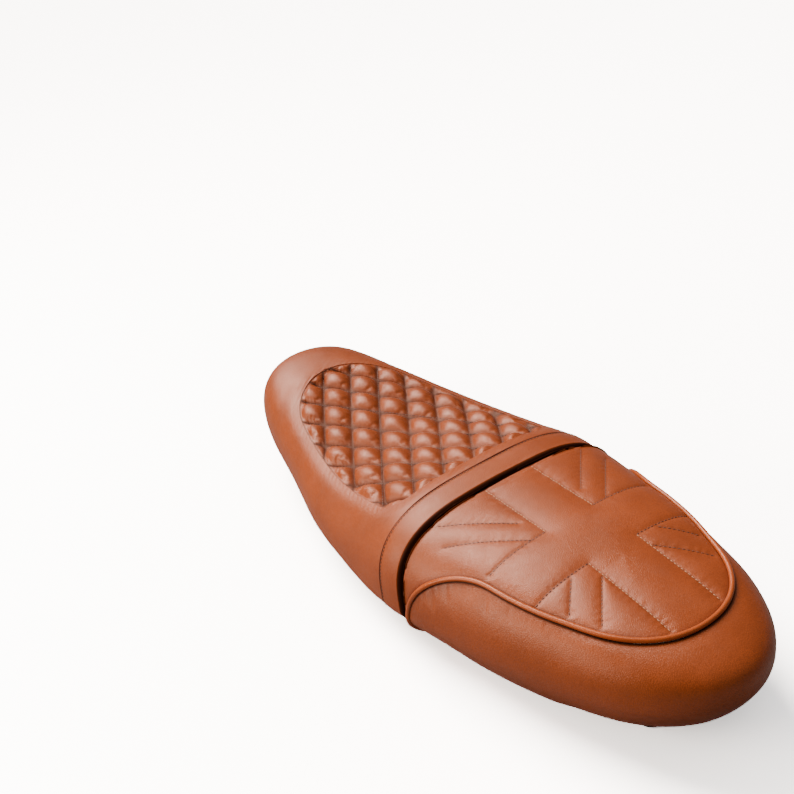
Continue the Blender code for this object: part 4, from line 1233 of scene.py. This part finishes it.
def sew_pillion(top):
    pale, dark = Sewing(top), Sewing(top)
    for start, end, is_pale in pillion_lines():
        (pale if is_pale else dark).from_above(start, end, lift=-0.0001)
    pale.finish("pillion_long_thread", PALE_THREAD, "pillion_pad")
    dark.finish("pillion_cross_thread", DARK_THREAD, "pillion_pad")


# ---------------------------------------------------------------- scene
FLOOR_HALF_SIZE = 60.0
FLOOR_SEEN = 5.5             # brightness of the floor and the sky for the camera alone
SKY_SEEN = 9.0
AREA_LIGHT_SIZE = 1.2


def paint_cad_nodes():
    """Better finishes for the CAD nodes that stay."""
    slots = {}
    for row in frame["record"]["subparts"]:
        slots[row["node"]] = row.get("material_slot")
    for name, item in frame["nodes"].items():
        material = SLOT_MATERIALS.get(slots.get(name))
        if material is not None:
            item.data.materials.clear()
            item.data.materials.append(material)


def make_floor():
    """A floor that looks pale to the camera, and is dark to the light that bounces off it."""
    far = FLOOR_HALF_SIZE
    mesh = bpy.data.meshes.new("studio_floor")
    mesh.from_pydata([(-far, -far, 0), (far, -far, 0), (far, far, 0), (-far, far, 0)], [],
                     [(0, 1, 2, 3)])
    floor = bpy.data.objects.new("studio_floor", mesh)
    bpy.context.scene.collection.objects.link(floor)
    floor.location.z = -0.0005
    paint = Paint("pale_floor", 0.7)
    tone = paint.colours(paint.noise(3, 2.0), ((0.3, (0.18, 0.18, 0.18)), (0.7, (0.20, 0.20, 0.20))))
    paint.link(paint.mix(paint.seen_directly(), tone, (FLOOR_SEEN,) * 3), "Base Color")
    paint.set(Specular_IOR_Level=0.0)
    paint.clear_from_behind()
    mesh.materials.append(paint.material)


def area_light(name, place, target, energy, colour):
    light = bpy.data.lights.new(name, "AREA")
    light.shape = "RECTANGLE"
    light.size = light.size_y = AREA_LIGHT_SIZE
    light.energy = energy
    light.color = colour
    item = bpy.data.objects.new(name, light)
    item.location = place
    item.rotation_euler = (Vector(target) - Vector(place)).to_track_quat("-Z", "Y").to_euler()
    bpy.context.scene.collection.objects.link(item)


def make_lights():
    world = bpy.data.worlds.new("soft_studio")
    world.use_nodes = True
    tree = world.node_tree
    up = tree.nodes.new("ShaderNodeSeparateXYZ")
    tree.links.new(tree.nodes.new("ShaderNodeTexCoord").outputs["Generated"], up.inputs[0])
    dome = tree.nodes.new("ShaderNodeMapRange")
    for name, number in (("From Min", 0.0), ("From Max", 1.0), ("To Min", 0.08), ("To Max", 0.55)):
        dome.inputs[name].default_value = number
    tree.links.new(up.outputs["Z"], dome.inputs["Value"])
    seen = tree.nodes.new("ShaderNodeMix")
    tree.links.new(tree.nodes.new("ShaderNodeLightPath").outputs["Is Camera Ray"], seen.inputs[0])
    tree.links.new(dome.outputs["Result"], seen.inputs[2])
    seen.inputs[3].default_value = SKY_SEEN
    tree.links.new(seen.outputs[0], tree.nodes["Background"].inputs["Strength"])
    tree.nodes["Background"].inputs["Color"].default_value = (1.0, 1.0, 1.0, 1)
    bpy.context.scene.world = world
    sun = bpy.data.lights.new("key", "SUN")
    sun.energy = 5.6
    sun.color = (1.0, 0.90, 0.82)
    sun.angle = math.radians(40)
    key = bpy.data.objects.new("key", sun)
    key.rotation_euler = (-Vector((1.25, 0.14, 1.33))).to_track_quat("-Z", "Y").to_euler()
    bpy.context.scene.collection.objects.link(key)
    area_light("top", (0.9, 0.2, 1.7), (0, 0, 0.1), 16, (1.0, 0.95, 0.90))
    area_light("left_fill", (0.6, 1.8, 0.6), (0, 0, 0.05), 40, (1.0, 0.88, 0.78))


CAMERA_PLACE = (-0.7661, 0.5051, 0.7433)
CAMERA_LOOK = (0.7428, -0.4276, -0.5152)
CAMERA_ROLL = -0.1566


def make_camera():
    forward = Vector(CAMERA_LOOK).normalized()
    right = forward.cross(Vector((0, 0, 1))).normalized()
    up = right.cross(forward)
    turned = right * math.cos(CAMERA_ROLL) + up * math.sin(CAMERA_ROLL)
    top = up * math.cos(CAMERA_ROLL) - right * math.sin(CAMERA_ROLL)
    data = bpy.data.cameras.new("camera")
    data.lens = 55.5
    data.sensor_width = 36.0
    data.clip_start = 0.01
    camera = bpy.data.objects.new("camera", data)
    axes = Matrix((turned, top, -forward)).transposed().to_4x4()
    camera.matrix_world = Matrix.Translation(CAMERA_PLACE) @ axes
    bpy.context.scene.collection.objects.link(camera)
    bpy.context.scene.camera = camera


make_camera()
make_lights()
make_floor()
paint_cad_nodes()

rider = rider_cover()
rider_side, rider_quilt, rider_band = make_rider_leather(rider)
pillion = pillion_cover()
pillion_top, pillion_side = make_pillion_leather(pillion)
make_piping(pillion)
make_wall("rider_wall_leather", GAP_X + HALF_GAP, 1, "rider_seat", "rider_rear_wall")
make_wall("pillion_wall_leather", GAP_X - HALF_GAP, -1, "pillion_pad", "pillion_front_wall")
make_wadding(rider)
make_foam("rider_foam_cushion", "rider_foam", "rider_seat", MOULDED_FOAM)
make_foam("pillion_foam_cushion", "pillion_foam", "pillion_pad", MOULDED_FOAM)
make_staples("rider_hem_staples", rider, "rider_seat", BAND_FRONT_X + 0.010, NOSE_X)
make_staples("pillion_hem_staples", pillion, "pillion_pad", TAIL_X, PILLION_LIP_X - 0.006)
sew_rider(rider_side, rider_quilt, rider_band)
sew_pillion(pillion_top)
